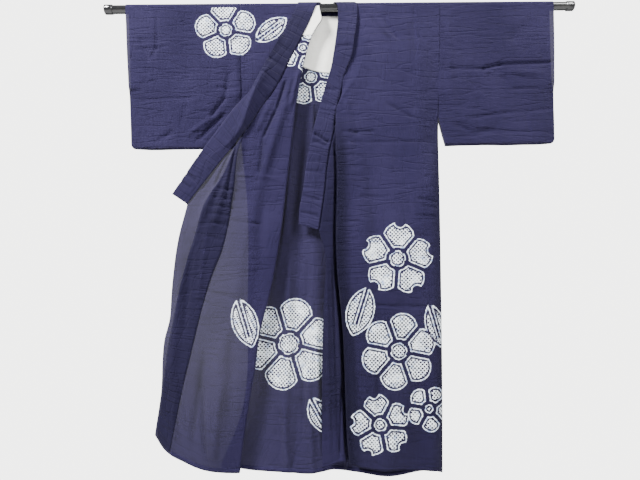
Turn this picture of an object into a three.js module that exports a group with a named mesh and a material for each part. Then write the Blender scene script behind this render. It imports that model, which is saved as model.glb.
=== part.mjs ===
// Yukata hung over a round rod, front open, right front turned back.
// Units are millimetres. The origin is the middle of the rod, +X is the viewer's right,
// +Y goes away from the viewer and +Z is up. Right and left in names are the wearer's.
import * as THREE from "three";
import { mergeVertices } from "three/addons/utils/BufferGeometryUtils.js";

// Driving sizes
const ROD_RADIUS = 12.5;
const ROD_HALF = 720;
const FERRULE_RADIUS = 14.5;
const FERRULE_LENGTH = 24;
const CLOTH = 1.4;
const BAND = 2;
const LINING = 1;
const SEAM_GAP = 0.4;
const OVERLAP_GAP = 0.6;
const BAND_SEAM = 1.5;
const LENGTH = 1350;
const SLEEVE_DROP = 434;
const CUFF_OPENING = 250;
const CUFF_CORNER = 14;
const ARMHOLE_END = 366;
const CENTRE_TOP = -30;
const CENTRE_HEM = -20;

// Radii round the rod of the middle of each layer of cloth, which turns in flat steps
const TURN_STEPS = 8;
const NECK_STEPS = 8;
const stepped = (radius, degrees) => radius / Math.cos(THREE.MathUtils.degToRad(degrees / 2));
const CLOTH_TURN = stepped(ROD_RADIUS + SEAM_GAP, 180 / TURN_STEPS) + CLOTH / 2;
// The band goes this many degrees round the rod, its free edge less far than its seam edge
const NECK_TURNS = { seam: 185, free: 132 };
const BAND_TURN = stepped(CLOTH_TURN + CLOTH / 2 + SEAM_GAP, NECK_TURNS.seam / NECK_STEPS) + BAND / 2;

// Depths below the rod between which a shape comes in
const COMES_IN = {
  turnedFront: [70, 170],
  rightFrontDepth: [0, 170],
  leftFrontDepth: [20, 180],
  backFolds: [60, 260],
  pleat: [200, 330],
  pleatWidth: [300, LENGTH],
  sideSeam: [ARMHOLE_END - 36, ARMHOLE_END + 50],
  hemOutline: [0.6 * LENGTH, LENGTH],
  sleeveHang: [10, SLEEVE_DROP],
  sleeveLoose: [ARMHOLE_END, SLEEVE_DROP],
  cuffSeam: [CUFF_OPENING - 10, CUFF_OPENING + 30],
};

// Colours
const INDIGO = { color: 0x2a2c55, roughness: 0.92, metalness: 0 };
const WHITE_COTTON = { color: 0xe6e6e8, roughness: 0.9, metalness: 0 };
const BLACK_LACQUER = { color: 0x0b0b0d, roughness: 0.2, metalness: 0 };

// Lines of the garment, each as x at a height z
const SIDE_RIGHT = [
  { z: 0, x: -309 },
  { z: -280, x: -309 },
  { z: -370, x: -311 },
  { z: -620, x: -290 },
  { z: -890, x: -291 },
  { z: -1170, x: -303 },
  { z: -1350, x: -368 },
];
const SIDE_LEFT = [
  { z: 0, x: 300 },
  { z: -200, x: 291 },
  { z: -365, x: 281 },
  { z: -600, x: 275 },
  { z: -780, x: 270 },
  { z: -1100, x: 259 },
  { z: -1350, x: 248 },
];
// The edge of the right front where it is turned back like a lapel
const TURNED_EDGE = [
  { z: 0, x: -110 },
  { z: -90, x: -116 },
  { z: -174, x: -121 },
  { z: -298, x: -141 },
  { z: -420, x: -157 },
  { z: -600, x: -180 },
  { z: -670, x: -189 },
  { z: -844, x: -220 },
  { z: -978, x: -255 },
  { z: -1082, x: -270 },
  { z: -1176, x: -287 },
  { z: -1350, x: -313 },
];
// The seam of the right overlap panel, below its tip at the band
const OVERLAP_SEAM_RIGHT = [
  { z: -398, x: -297 },
  { z: -450, x: -314 },
  { z: -582, x: -330 },
  { z: -741, x: -362 },
  { z: -804, x: -387 },
  { z: -882, x: -412 },
  { z: -1050, x: -451 },
  { z: -1180, x: -477 },
  { z: -1350, x: -505 },
];
// The free front edge of the right overlap panel, below the band's end
const FRONT_EDGE_RIGHT = [
  { z: -607, x: -460 },
  { z: -693, x: -482 },
  { z: -759, x: -493 },
  { z: -870, x: -503 },
  { z: -935, x: -506 },
  { z: -1015, x: -521 },
  { z: -1200, x: -528 },
  { z: -1350, x: -543 },
];
// The pleat at the front edge of the left front, as seen, and the collar seam above it
const PLEAT_LEFT = [
  { z: 0, x: 38 },
  { z: -52, x: 38 },
  { z: -163, x: 28 },
  { z: -225, x: 4 },
  { z: -285, x: -12 },
  { z: -330, x: -26 },
  { z: -542, x: -29 },
  { z: -765, x: -33 },
  { z: -1035, x: -28 },
  { z: -1319, x: -19 },
  { z: -1350, x: -14 },
];
// The free front edge of the left overlap panel, below the band's end
const FRONT_EDGE_LEFT = [
  { z: -687, x: -84 },
  { z: -760, x: -66 },
  { z: -890, x: -73 },
  { z: -1112, x: -83 },
  { z: -1350, x: -88 },
];

// Collar band between two rails, with a crease at share of its width from the seam rail.
// It runs from the right front's end over the rod, behind it and down the left front.
const BAND_RIGHT = [
  { seamX: -504, seamY: -21, seamZ: -577, share: 0.5, creaseY: -23, freeX: -461, freeY: -22, freeZ: -607 },
  { seamX: -466, seamY: -23, seamZ: -520, share: 0.5, creaseY: -25, freeX: -419, freeY: -22, freeZ: -552 },
  { seamX: -422, seamY: -26, seamZ: -456, share: 0.5, creaseY: -27, freeX: -375, freeY: -22, freeZ: -495 },
  { seamX: -376, seamY: -29, seamZ: -394, share: 0.8, creaseY: -29, freeX: -332, freeY: -22, freeZ: -441 },
  { seamX: -330, seamY: -33, seamZ: -334, share: 0.85, creaseY: -38, freeX: -299, freeY: -22, freeZ: -398 },
  { seamX: -303, seamY: -36, seamZ: -305, share: 0.55, creaseY: -44, freeX: -268, freeY: -22, freeZ: -356 },
  { seamX: -277, seamY: -38, seamZ: -277, share: 0.25, creaseY: -44, freeX: -244, freeY: -22, freeZ: -318 },
  { seamX: -258, seamY: -36, seamZ: -243, share: 0.2, creaseY: -42, freeX: -214, freeY: -22, freeZ: -277 },
  { seamX: -241, seamY: -33, seamZ: -208, share: 0.2, creaseY: -38, freeX: -190, freeY: -22, freeZ: -238 },
  { seamX: -224, seamY: -28, seamZ: -173, share: 0.3, creaseY: -31, freeX: -172, freeY: -22, freeZ: -199 },
  { seamX: -180, seamY: -21, seamZ: -89, share: 0.5, creaseY: -22, freeX: -130, freeY: -20, freeZ: -115 },
  { seamX: -147, seamY: -17, seamZ: -26, share: 0.5, creaseY: -18, freeX: -97, freeY: -17, freeZ: -48 },
];
const BAND_LEFT = [
  { seamX: 46, seamY: -18, seamZ: -40, share: 0.5, creaseY: -18.5, freeX: -13, freeY: -17.5, freeZ: -40 },
  { seamX: 36, seamY: -21, seamZ: -105, share: 0.5, creaseY: -22, freeX: -20, freeY: -20, freeZ: -100 },
  { seamX: 26, seamY: -21, seamZ: -160, share: 0.5, creaseY: -21, freeX: -28, freeY: -18, freeZ: -150 },
  { seamX: 1, seamY: -16, seamZ: -225, share: 0.5, creaseY: -16, freeX: -38, freeY: -14, freeZ: -200 },
  { seamX: -4, seamY: -11, seamZ: -275, share: 0.5, creaseY: -12, freeX: -54, freeY: -11, freeZ: -250 },
  { seamX: -16, seamY: -9, seamZ: -325, share: 0.5, creaseY: -10, freeX: -71, freeY: -9, freeZ: -305 },
  { seamX: -32, seamY: -9, seamZ: -385, share: 0.5, creaseY: -11, freeX: -89, freeY: -9, freeZ: -368 },
  { seamX: -47, seamY: -10, seamZ: -440, share: 0.5, creaseY: -12, freeX: -104, freeY: -9, freeZ: -428 },
  { seamX: -58, seamY: -10, seamZ: -502, share: 0.5, creaseY: -12, freeX: -117, freeY: -9, freeZ: -495 },
  { seamX: -66, seamY: -10, seamZ: -573, share: 0.5, creaseY: -12, freeX: -127, freeY: -9, freeZ: -565 },
  { seamX: -76, seamY: -10, seamZ: -635, share: 0.5, creaseY: -12, freeX: -138, freeY: -9, freeZ: -622 },
  { seamX: -85, seamY: -10, seamZ: -687, share: 0.5, creaseY: -12, freeX: -141, freeY: -9, freeZ: -670 },
];

// Hems, each as a height at x
const HEM_RIGHT_FRONT = [
  { x: -543, z: -1246 },
  { x: -518, z: -1284 },
  { x: -461, z: -1320 },
  { x: -411, z: -1341 },
  { x: -321, z: -1352 },
  { x: -200, z: -1340 },
];
const HEM_LEFT_FRONT = [
  { x: -88, z: -1350 },
  { x: -24, z: -1334 },
  { x: 17, z: -1346 },
  { x: 71, z: -1355 },
  { x: 154, z: -1357 },
  { x: 248, z: -1366 },
];
const HEM_BACK = [
  { x: -368, z: -1340 },
  { x: -291, z: -1356 },
  { x: -187, z: -1366 },
  { x: -121, z: -1371 },
  { x: -52, z: -1362 },
  { x: 11, z: -1370 },
  { x: 99, z: -1385 },
  { x: 194, z: -1372 },
  { x: 248, z: -1373 },
];

// Soft folds: a ridge along a line from the top point to the bottom point, as wide as
// reach on each side, and raised by depth away from the rod's plane
const FOLDS_TURNED = [
  { topX: -150, topZ: -230, bottomX: -252, bottomZ: -560, reach: 12, depth: 7 },
  { topX: -205, topZ: -330, bottomX: -300, bottomZ: -760, reach: 22, depth: 6 },
  { topX: -300, topZ: -400, bottomX: -352, bottomZ: -660, reach: 10, depth: 7 },
  { topX: -304, topZ: -400, bottomX: -395, bottomZ: -700, reach: 11, depth: 9 },
  { topX: -308, topZ: -402, bottomX: -440, bottomZ: -690, reach: 10, depth: 7 },
  { topX: -470, topZ: -700, bottomX: -505, bottomZ: -1180, reach: 12, depth: 6 },
  { topX: -350, topZ: -940, bottomX: -400, bottomZ: -1352, reach: 26, depth: 8 },
];
const FOLDS_LEFT_FRONT = [
  { topX: 40, topZ: -380, bottomX: 60, bottomZ: -1360, reach: 34, depth: 5 },
  { topX: 230, topZ: -360, bottomX: 180, bottomZ: -1100, reach: 40, depth: 5 },
  { topX: 120, topZ: -700, bottomX: 128, bottomZ: -1370, reach: 36, depth: 6 },
];
const FOLDS_BACK = [
  { topX: -128, topZ: -300, bottomX: -150, bottomZ: -1100, reach: 20, depth: 7 },
  { topX: -92, topZ: -290, bottomX: -105, bottomZ: -1370, reach: 24, depth: -4 },
  { topX: -60, topZ: -700, bottomX: -52, bottomZ: -1380, reach: 18, depth: 6 },
  { topX: 90, topZ: -240, bottomX: 104, bottomZ: -1400, reach: 40, depth: 7 },
  { topX: 190, topZ: -420, bottomX: 196, bottomZ: -1390, reach: 34, depth: 5 },
  { topX: -230, topZ: -420, bottomX: -262, bottomZ: -1370, reach: 34, depth: 6 },
];

const mix = THREE.MathUtils.lerp;
const smooth = (value, from, to) => {
  const t = THREE.MathUtils.clamp((value - from) / (to - from), 0, 1);
  return t * t * (3 - 2 * t);
};
const comesIn = (z, [from, to]) => smooth(-z, from, to);

// The rows of a table in rising order of key, the row before a value and the value held to them
function bracket(rows, value, key) {
  const rising = rows[0][key] < rows[rows.length - 1][key];
  const list = rising ? rows : [...rows].reverse();
  const at = THREE.MathUtils.clamp(value, list[0][key], list[list.length - 1][key]);
  let i = 0;
  while (i < list.length - 2 && at > list[i + 1][key]) i += 1;
  return { list, i, at };
}

// A value on the straight line between two rows of a table
function readStraight(rows, value, key, column) {
  const { list, i, at } = bracket(rows, value, key);
  const share = (at - list[i][key]) / (list[i + 1][key] - list[i][key]);
  return mix(list[i][column], list[i + 1][column], share);
}

// A value between the rows of a table, on a smooth curve through them
function read(rows, value, key, column) {
  const { list, i, at } = bracket(rows, value, key);
  const slope = (a, b) => (b[column] - a[column]) / (b[key] - a[key]);
  const here = slope(list[i], list[i + 1]);
  const before = i > 0 ? slope(list[i - 1], list[i]) : here;
  const after = i < list.length - 2 ? slope(list[i + 1], list[i + 2]) : here;
  const span = list[i + 1][key] - list[i][key];
  const t = (at - list[i][key]) / span;
  const start = ((before + here) / 2) * span;
  const end = ((here + after) / 2) * span;
  const rise = list[i + 1][column] - list[i][column];
  return list[i][column] + start * t + (3 * rise - 2 * start - end) * t * t + (start + end - 2 * rise) * t ** 3;
}
const lineX = (line, z) => read(line, z, "z", "x");
const hemZ = (hem, x) => read(hem, x, "x", "z");

// Cloth that is sewn to the band ends beside the band's edge
const besideRight = (z) => readStraight(BAND_RIGHT, z, "freeZ", "freeX") + BAND_SEAM;
const besideLeft = (z) => readStraight(BAND_LEFT, z, "seamZ", "seamX") + BAND_SEAM;
const TIP_RIGHT = OVERLAP_SEAM_RIGHT[0].z;
const overlapSeamRight = (z) => (z > TIP_RIGHT ? besideRight(z) : lineX(OVERLAP_SEAM_RIGHT, z));
const END_RIGHT = FRONT_EDGE_RIGHT[0].z;
const frontEdgeRight = (z) => (z > END_RIGHT ? besideRight(z) : lineX(FRONT_EDGE_RIGHT, z));
const END_LEFT = FRONT_EDGE_LEFT[0].z;
const frontEdgeLeft = (z) => (z > END_LEFT ? besideLeft(z) : lineX(FRONT_EDGE_LEFT, z));

// How far the folds of a table raise the cloth at x and z. A fold rises and dies away over
// these shares of its length.
const FOLD_RISES = [-0.05, 0.25];
const FOLD_DIES = [0.75, 1.15];
function foldDepth(folds, x, z) {
  let depth = 0;
  for (const fold of folds) {
    const t = (z - fold.topZ) / (fold.bottomZ - fold.topZ);
    const onLine = smooth(t, ...FOLD_RISES) * (1 - smooth(t, ...FOLD_DIES));
    const aside = (x - mix(fold.topX, fold.bottomX, t)) / fold.reach;
    depth += fold.depth * onLine * Math.exp(-aside * aside);
  }
  return depth;
}

// A closed wall round a grid of points, half its thickness to each side of them.
// wrap joins the last row to the first, which makes a tube that is open at its ends.
function wall(grid, thickness, wrap = false) {
  const rows = grid.length;
  const columns = grid[0].length;
  const clampRow = (i) => (wrap ? (i + rows) % rows : THREE.MathUtils.clamp(i, 0, rows - 1));
  const clampColumn = (j) => THREE.MathUtils.clamp(j, 0, columns - 1);
  const at = (i, j) => grid[clampRow(i)][clampColumn(j)];
  const positions = [];
  for (const side of [0.5, -0.5]) {
    for (let i = 0; i < rows; i += 1) {
      for (let j = 0; j < columns; j += 1) {
        const down = at(i + 1, j).clone().sub(at(i - 1, j));
        const across = at(i, j + 1).clone().sub(at(i, j - 1));
        const normal = across.cross(down).normalize();
        const point = grid[i][j].clone().addScaledVector(normal, side * thickness);
        positions.push(point.x, point.y, point.z);
      }
    }
  }
  const index = [];
  const near = (i, j) => clampRow(i) * columns + j;
  const far = (i, j) => rows * columns + near(i, j);
  const quad = (a, b, c, d) => index.push(a, b, c, a, c, d);
  const bands = wrap ? rows : rows - 1;
  for (let i = 0; i < bands; i += 1) {
    for (let j = 0; j < columns - 1; j += 1) {
      quad(near(i, j), near(i + 1, j), near(i + 1, j + 1), near(i, j + 1));
      quad(far(i, j), far(i, j + 1), far(i + 1, j + 1), far(i + 1, j));
    }
    quad(near(i, 0), far(i, 0), far(i + 1, 0), near(i + 1, 0));
    quad(near(i, columns - 1), near(i + 1, columns - 1), far(i + 1, columns - 1), far(i, columns - 1));
  }
  if (!wrap) {
    for (let j = 0; j < columns - 1; j += 1) {
      quad(near(0, j), near(0, j + 1), far(0, j + 1), far(0, j));
      quad(near(rows - 1, j), far(rows - 1, j), far(rows - 1, j + 1), near(rows - 1, j + 1));
    }
  }
  const geometry = new THREE.BufferGeometry();
  geometry.setAttribute("position", new THREE.Float32BufferAttribute(positions, 3));
  geometry.setIndex(index);
  return facingOut(geometry);
}

// The same body with its faces turned round if they point inwards
function facingOut(geometry) {
  const merged = mergeVertices(geometry, 1e-4);
  const p = merged.attributes.position;
  const index = Array.from(merged.index.array);
  let volume = 0;
  const corner = (k) => new THREE.Vector3().fromBufferAttribute(p, index[k]);
  for (let k = 0; k < index.length; k += 3) {
    volume += corner(k).dot(corner(k + 1).cross(corner(k + 2)));
  }
  if (volume < 0) index.reverse();
  merged.setIndex(index);
  merged.computeVertexNormals();
  return merged;
}

const group = new THREE.Group();
function add(name, geometry, look) {
  const mesh = new THREE.Mesh(geometry, new THREE.MeshStandardMaterial(look));
  mesh.name = name;
  group.add(mesh);
}

// Rows of a body panel, from the front hem over the rod to the back hem
const FRONT_ROWS = [
  -1350, -1310, -1240, -1160, -1080, -1000, -920, -850, -780, -710, -640, -580, -520, -460, -415, -375,
  -335, -295, -255, -215, -170, -120, -70, -25,
];
const BACK_ROWS = [
  -11, -18.4, -45, -90, -150, -220, -300, -340, -375, -415, -480, -560, -650, -740, -830, -920, -1010, -1100,
  -1190, -1280, -1350,
];
const NECK_ROWS_END = -15;
const SIDE_REACH = 34;

// The side seams draw the front and the back together below the armholes
function closedAtSide(y, fromSide, z) {
  const closing = comesIn(z, COMES_IN.sideSeam);
  const near = Math.max(0, 1 - fromSide / SIDE_REACH) ** 2;
  return mix(y, Math.sign(y) * CLOTH, closing * near);
}

// Height of a row at x, drawn towards the hem's own outline in the lower part
function rowHeight(z, hem, x) {
  return z + (hemZ(hem, x) + LENGTH) * comesIn(z, COMES_IN.hemOutline);
}

const acrossRow = (from, to, columns, pointAt) =>
  Array.from({ length: columns + 1 }, (_, j) => pointAt(mix(from, to, j / columns)));

// A point of the back's cloth
function backPoint(x, z, sideX) {
  const flat = CLOTH_TURN + foldDepth(FOLDS_BACK, x, z) * comesIn(z, COMES_IN.backFolds);
  return new THREE.Vector3(x, closedAtSide(flat, Math.abs(x - sideX), z), rowHeight(z, HEM_BACK, x));
}
const centreX = (z) => mix(CENTRE_TOP, CENTRE_HEM, -z / LENGTH);

// One length of cloth over the rod: a front section at each front row, a plain arc over
// the rod and the back down to its hem. Behind the rod it ends at the neck opening and
// below NECK_ROWS_END at the centre seam.
function bodyPanel(frontSection, side, neckX, backInner, columns) {
  const grid = [];
  for (const z of FRONT_ROWS) grid.push(frontSection(z));
  for (let k = 0; k <= TURN_STEPS; k += 1) {
    const angle = (Math.PI * k) / TURN_STEPS;
    const y = -CLOTH_TURN * Math.cos(angle);
    const height = CLOTH_TURN * Math.sin(angle);
    grid.push(acrossRow(side(0), neckX, columns, (x) => new THREE.Vector3(x, y, height)));
  }
  for (const z of BACK_ROWS) {
    const inner = z > NECK_ROWS_END ? neckX : backInner(z);
    grid.push(acrossRow(side(z), inner, columns, (x) => backPoint(x, z, side(z))));
  }
  return wall(grid, CLOTH);
}

// Depths of the layers of the two fronts
const RIGHT_OUTER_Y = -12.4;
const TURNED_Y = -21;
const LEFT_FRONT_Y = -18;
const PLEAT_ROLL = 2;

// Right body panel: its front is turned back along TURNED_EDGE
const OUTER_COLUMNS = 9;
const ROLL_COLUMNS = 4;
const RETURN_COLUMNS = 8;
const RIGHT_COLUMNS = OUTER_COLUMNS + ROLL_COLUMNS + RETURN_COLUMNS;
function rightFrontSection(z) {
  const side = lineX(SIDE_RIGHT, z);
  const turn = lineX(TURNED_EDGE, z);
  const seam = overlapSeamRight(z) + OVERLAP_GAP;
  const turned = comesIn(z, COMES_IN.turnedFront);
  const outerY = mix(-CLOTH_TURN, RIGHT_OUTER_Y, comesIn(z, COMES_IN.rightFrontDepth));
  const roll = (outerY - TURNED_Y) / 2;
  return Array.from({ length: RIGHT_COLUMNS + 1 }, (_, j) => {
    const flatX = mix(side, turn, j / RIGHT_COLUMNS);
    let x = mix(side, turn - roll, j / OUTER_COLUMNS);
    let y = outerY;
    if (j > OUTER_COLUMNS + ROLL_COLUMNS) {
      x = mix(turn - roll, seam, (j - OUTER_COLUMNS - ROLL_COLUMNS) / RETURN_COLUMNS);
      y = TURNED_Y - foldDepth(FOLDS_TURNED, x, z);
    } else if (j > OUTER_COLUMNS) {
      const angle = (Math.PI * (j - OUTER_COLUMNS)) / ROLL_COLUMNS;
      x = turn - roll + roll * Math.sin(angle);
      y = outerY - roll * (1 - Math.cos(angle));
    }
    x = mix(flatX, x, turned);
    y = closedAtSide(mix(outerY, y, turned), j <= OUTER_COLUMNS ? x - side : SIDE_REACH, z);
    return new THREE.Vector3(x, y, rowHeight(z, HEM_RIGHT_FRONT, x));
  });
}
add(
  "body_right",
  bodyPanel(
    rightFrontSection,
    (z) => lineX(SIDE_RIGHT, z),
    lineX(TURNED_EDGE, 0),
    (z) => centreX(z) - SEAM_GAP,
    RIGHT_COLUMNS,
  ),
  INDIGO,
);

// Left body panel: flat front with one pleat behind its front edge
const LEFT_OUTER_COLUMNS = 12;
const PLEAT_COLUMNS = 4;
const LEFT_RETURN_COLUMNS = 2;
const LEFT_COLUMNS = LEFT_OUTER_COLUMNS + PLEAT_COLUMNS + LEFT_RETURN_COLUMNS;
const PLEAT_WIDTH = { top: 6, hem: 20 };
const pleatDepth = (z) => mix(PLEAT_WIDTH.top, PLEAT_WIDTH.hem, comesIn(z, COMES_IN.pleatWidth));
function leftFrontSection(z) {
  const side = lineX(SIDE_LEFT, z);
  const edge = lineX(PLEAT_LEFT, z);
  const pleated = comesIn(z, COMES_IN.pleat);
  const outerY = mix(-CLOTH_TURN, LEFT_FRONT_Y, comesIn(z, COMES_IN.leftFrontDepth));
  return Array.from({ length: LEFT_COLUMNS + 1 }, (_, j) => {
    const flatX = mix(side, edge, j / LEFT_COLUMNS);
    let x = mix(side, edge + PLEAT_ROLL, j / LEFT_OUTER_COLUMNS);
    let y = outerY - foldDepth(FOLDS_LEFT_FRONT, x, z);
    if (j > LEFT_OUTER_COLUMNS + PLEAT_COLUMNS) {
      const along = (j - LEFT_OUTER_COLUMNS - PLEAT_COLUMNS) / LEFT_RETURN_COLUMNS;
      x = edge + PLEAT_ROLL + pleatDepth(z) * along;
      y = outerY + 2 * PLEAT_ROLL;
    } else if (j > LEFT_OUTER_COLUMNS) {
      const angle = (Math.PI * (j - LEFT_OUTER_COLUMNS)) / PLEAT_COLUMNS;
      x = edge + PLEAT_ROLL * (1 - Math.sin(angle));
      y = outerY + PLEAT_ROLL * (1 - Math.cos(angle));
    }
    x = mix(flatX, x, pleated);
    const fromSide = j <= LEFT_OUTER_COLUMNS ? side - x : SIDE_REACH;
    y = closedAtSide(mix(outerY, y, pleated), fromSide, z);
    return new THREE.Vector3(x, y, rowHeight(z, HEM_LEFT_FRONT, x));
  });
}
add(
  "body_left",
  bodyPanel(
    leftFrontSection,
    (z) => lineX(SIDE_LEFT, z),
    lineX(PLEAT_LEFT, 0),
    (z) => centreX(z) + SEAM_GAP,
    LEFT_COLUMNS,
  ),
  INDIGO,
);

// Overlap panels, from the seam with the body panel to the front edge
const OVERLAP_COLUMNS = 6;
const RIGHT_OVERLAP_ROWS = [
  -410, -428, -460, -500, -550, -600, -650, -710, -780, -850, -920, -1000, -1080, -1160, -1240, -1310, -1350,
];
add(
  "okumi_right",
  wall(
    RIGHT_OVERLAP_ROWS.map((z) => {
      const seam = overlapSeamRight(z) - OVERLAP_GAP;
      return acrossRow(seam, frontEdgeRight(z), OVERLAP_COLUMNS, (x) => {
        const y = TURNED_Y - foldDepth(FOLDS_TURNED, x, z);
        return new THREE.Vector3(x, y, rowHeight(z, HEM_RIGHT_FRONT, x));
      });
    }),
    CLOTH,
  ),
  INDIGO,
);
const LEFT_OVERLAP_ROWS = [
  -375, -415, -460, -520, -580, -640, -687, -710, -780, -850, -920, -1000, -1080, -1160, -1240, -1310,
  -1350,
];
// The left one starts in the pleat's inner roll, behind the body panel's edge
const INNER_ROLL_STEPS = 3;
add(
  "okumi_left",
  wall(
    LEFT_OVERLAP_ROWS.map((z) => {
      const seam = lineX(PLEAT_LEFT, z) + PLEAT_ROLL + pleatDepth(z) + OVERLAP_GAP;
      const at = (x, y) => new THREE.Vector3(x, y, rowHeight(z, HEM_LEFT_FRONT, x));
      const rolled = acrossRow(0, Math.PI, INNER_ROLL_STEPS, (angle) =>
        at(seam + PLEAT_ROLL * Math.sin(angle), LEFT_FRONT_Y + PLEAT_ROLL * (3 - Math.cos(angle))),
      );
      const flatY = LEFT_FRONT_Y + 4 * PLEAT_ROLL;
      const flat = acrossRow(seam, frontEdgeLeft(z), OVERLAP_COLUMNS, (x) => at(x, flatY));
      return [...rolled, ...flat.slice(1)];
    }),
    CLOTH,
  ),
  INDIGO,
);

// Sleeves: a tube of cloth over the rod, open at the cuff and at the armhole
const SLEEVE_COLUMNS = 8;
const SLEEVE_PACKING = 1.8;
const SLEEVE_WALL_STEPS = 9;
const SLEEVE_BOTTOM_STEPS = 3;
const SLEEVE_BOTTOM_HALF = 6;
const CUFF_CLOSED_HALF = 1.6;
const CUFF_CLOSED_REACH = 70;
const SLEEVES = [
  { name: "sleeve_right", armhole: SIDE_RIGHT, cuffTop: -654, cuffHem: -631, loose: -328 },
  { name: "sleeve_left", armhole: SIDE_LEFT, cuffTop: 652, cuffHem: 630, loose: 299 },
];
// Half the distance between the front and the back of a sleeve
function sleeveHalf(along, z, width) {
  const hanging = mix(CLOTH_TURN, SLEEVE_BOTTOM_HALF, comesIn(z, COMES_IN.sleeveHang));
  const sewn = comesIn(z, COMES_IN.cuffSeam);
  const nearCuff = Math.max(0, 1 - ((1 - along) * width) / CUFF_CLOSED_REACH) ** 2;
  return mix(hanging, CUFF_CLOSED_HALF, sewn * nearCuff);
}
function sleeveGrid(sleeve) {
  const outward = Math.sign(sleeve.cuffTop);
  const pointAt = (along, z, y) => {
    const free = lineX(sleeve.armhole, z) + outward * SEAM_GAP;
    const inner = mix(free, sleeve.loose, comesIn(z, COMES_IN.sleeveLoose));
    const outer = mix(sleeve.cuffTop, sleeve.cuffHem, THREE.MathUtils.clamp(-z / SLEEVE_DROP, 0, 1));
    return new THREE.Vector3(mix(inner, outer, along), y, z);
  };
  const width = Math.abs(sleeve.cuffTop - lineX(sleeve.armhole, 0));
  const ring = [];
  // Columns stand closer together towards the cuff, where the corner is round
  const column = (make) =>
    Array.from({ length: SLEEVE_COLUMNS + 1 }, (_, j) => make(1 - (1 - j / SLEEVE_COLUMNS) ** SLEEVE_PACKING));
  // The bottom fold rises in a round corner at the cuff
  const bottomAt = (along) => {
    const into = Math.max(0, CUFF_CORNER - (1 - along) * width);
    return -SLEEVE_DROP + CUFF_CORNER - Math.sqrt(CUFF_CORNER ** 2 - into ** 2);
  };
  const hangingPoint = (along, share, sign) => {
    const z = bottomAt(along) * share;
    return pointAt(along, z, sign * sleeveHalf(along, z, width));
  };
  for (let k = 1; k <= SLEEVE_WALL_STEPS; k += 1) {
    ring.push(column((a) => hangingPoint(a, 1 - k / SLEEVE_WALL_STEPS, -1)));
  }
  for (let k = 1; k < TURN_STEPS; k += 1) {
    const angle = (Math.PI * k) / TURN_STEPS;
    const y = -CLOTH_TURN * Math.cos(angle);
    const height = CLOTH_TURN * Math.sin(angle);
    ring.push(column((a) => pointAt(a, 0, y).setZ(height)));
  }
  for (let k = 0; k <= SLEEVE_WALL_STEPS; k += 1) {
    ring.push(column((a) => hangingPoint(a, k / SLEEVE_WALL_STEPS, 1)));
  }
  for (let k = 1; k <= SLEEVE_BOTTOM_STEPS; k += 1) {
    const angle = (Math.PI * k) / SLEEVE_BOTTOM_STEPS;
    ring.push(
      column((a) => {
        const bottom = bottomAt(a);
        const half = sleeveHalf(a, bottom, width);
        return pointAt(a, bottom, half * Math.cos(angle)).setZ(bottom - half * Math.sin(angle));
      }),
    );
  }
  return ring;
}
for (const sleeve of SLEEVES) add(sleeve.name, wall(sleeveGrid(sleeve), CLOTH, true), INDIGO);

// The band's way over the rod, and behind it where it is folded in half
const NECK_RIGHT = { seamStart: -137, seamEnd: -117, freeStart: -78, freeEnd: -56 };
const NECK_LEFT = { seamStart: 46, seamEnd: 28, freeStart: -14, freeEnd: -30 };
const NECK_BACK = [
  { seamX: -96, freeX: -50 },
  { seamX: -70, freeX: -46 },
  { seamX: -43, freeX: -43 },
  { seamX: -16, freeX: -40 },
  { seamX: 8, freeX: -36 },
];
const NECK_SEAM = { y: 15.9, z: -16.4 };
const NECK_FREE = { y: 14.2, z: 11.2 };
const NECK_BULGE = 1;
function onRod(x, turn) {
  const angle = THREE.MathUtils.degToRad(turn);
  return new THREE.Vector3(x, -BAND_TURN * Math.cos(angle), BAND_TURN * Math.sin(angle));
}
const bandRow = (row) => {
  const seam = new THREE.Vector3(row.seamX, row.seamY, row.seamZ);
  const free = new THREE.Vector3(row.freeX, row.freeY, row.freeZ);
  return [seam, seam.clone().lerp(free, row.share).setY(row.creaseY), free];
};
const overRows = (neck) =>
  Array.from({ length: NECK_STEPS + 1 }, (_, k) => {
    const share = k / NECK_STEPS;
    const seam = onRod(mix(neck.seamStart, neck.seamEnd, share), NECK_TURNS.seam * share);
    const free = onRod(mix(neck.freeStart, neck.freeEnd, share), NECK_TURNS.free * share);
    const turn = ((NECK_TURNS.seam + NECK_TURNS.free) / 2) * share;
    return [seam, onRod((seam.x + free.x) / 2, turn), free];
  });
const behindRow = (row) => {
  const seam = new THREE.Vector3(row.seamX, NECK_SEAM.y, NECK_SEAM.z);
  const free = new THREE.Vector3(row.freeX, NECK_FREE.y, NECK_FREE.z);
  return [seam, seam.clone().lerp(free, 0.5).setY(NECK_SEAM.y + NECK_BULGE), free];
};
add(
  "collar",
  wall(
    [
      ...BAND_RIGHT.map(bandRow),
      ...overRows(NECK_RIGHT),
      ...NECK_BACK.map(behindRow),
      ...overRows(NECK_LEFT).reverse(),
      ...BAND_LEFT.map(bandRow),
    ],
    BAND,
  ),
  INDIGO,
);

// White lining at the inside of the back neck, made from the back's own points
const YOKE = { right: -125, left: 46, top: -19, bottom: -203, rise: 20, riseAt: 90 };
const YOKE_STEPS = 8;
const yokeOffset = (CLOTH + LINING) / 2 + SEAM_GAP;
add(
  "yoke_lining",
  wall(
    Array.from({ length: YOKE_STEPS + 1 }, (_, i) =>
      acrossRow(YOKE.right, YOKE.left, YOKE_STEPS, (x) => {
        const bottom = YOKE.bottom + YOKE.rise * ((x - CENTRE_TOP) / YOKE.riseAt) ** 2;
        const z = mix(YOKE.top, bottom, i / YOKE_STEPS);
        const point = backPoint(x, z, lineX(SIDE_RIGHT, z));
        return point.setY(point.y - yokeOffset);
      }),
    ),
    LINING,
  ),
  WHITE_COTTON,
);

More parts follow.
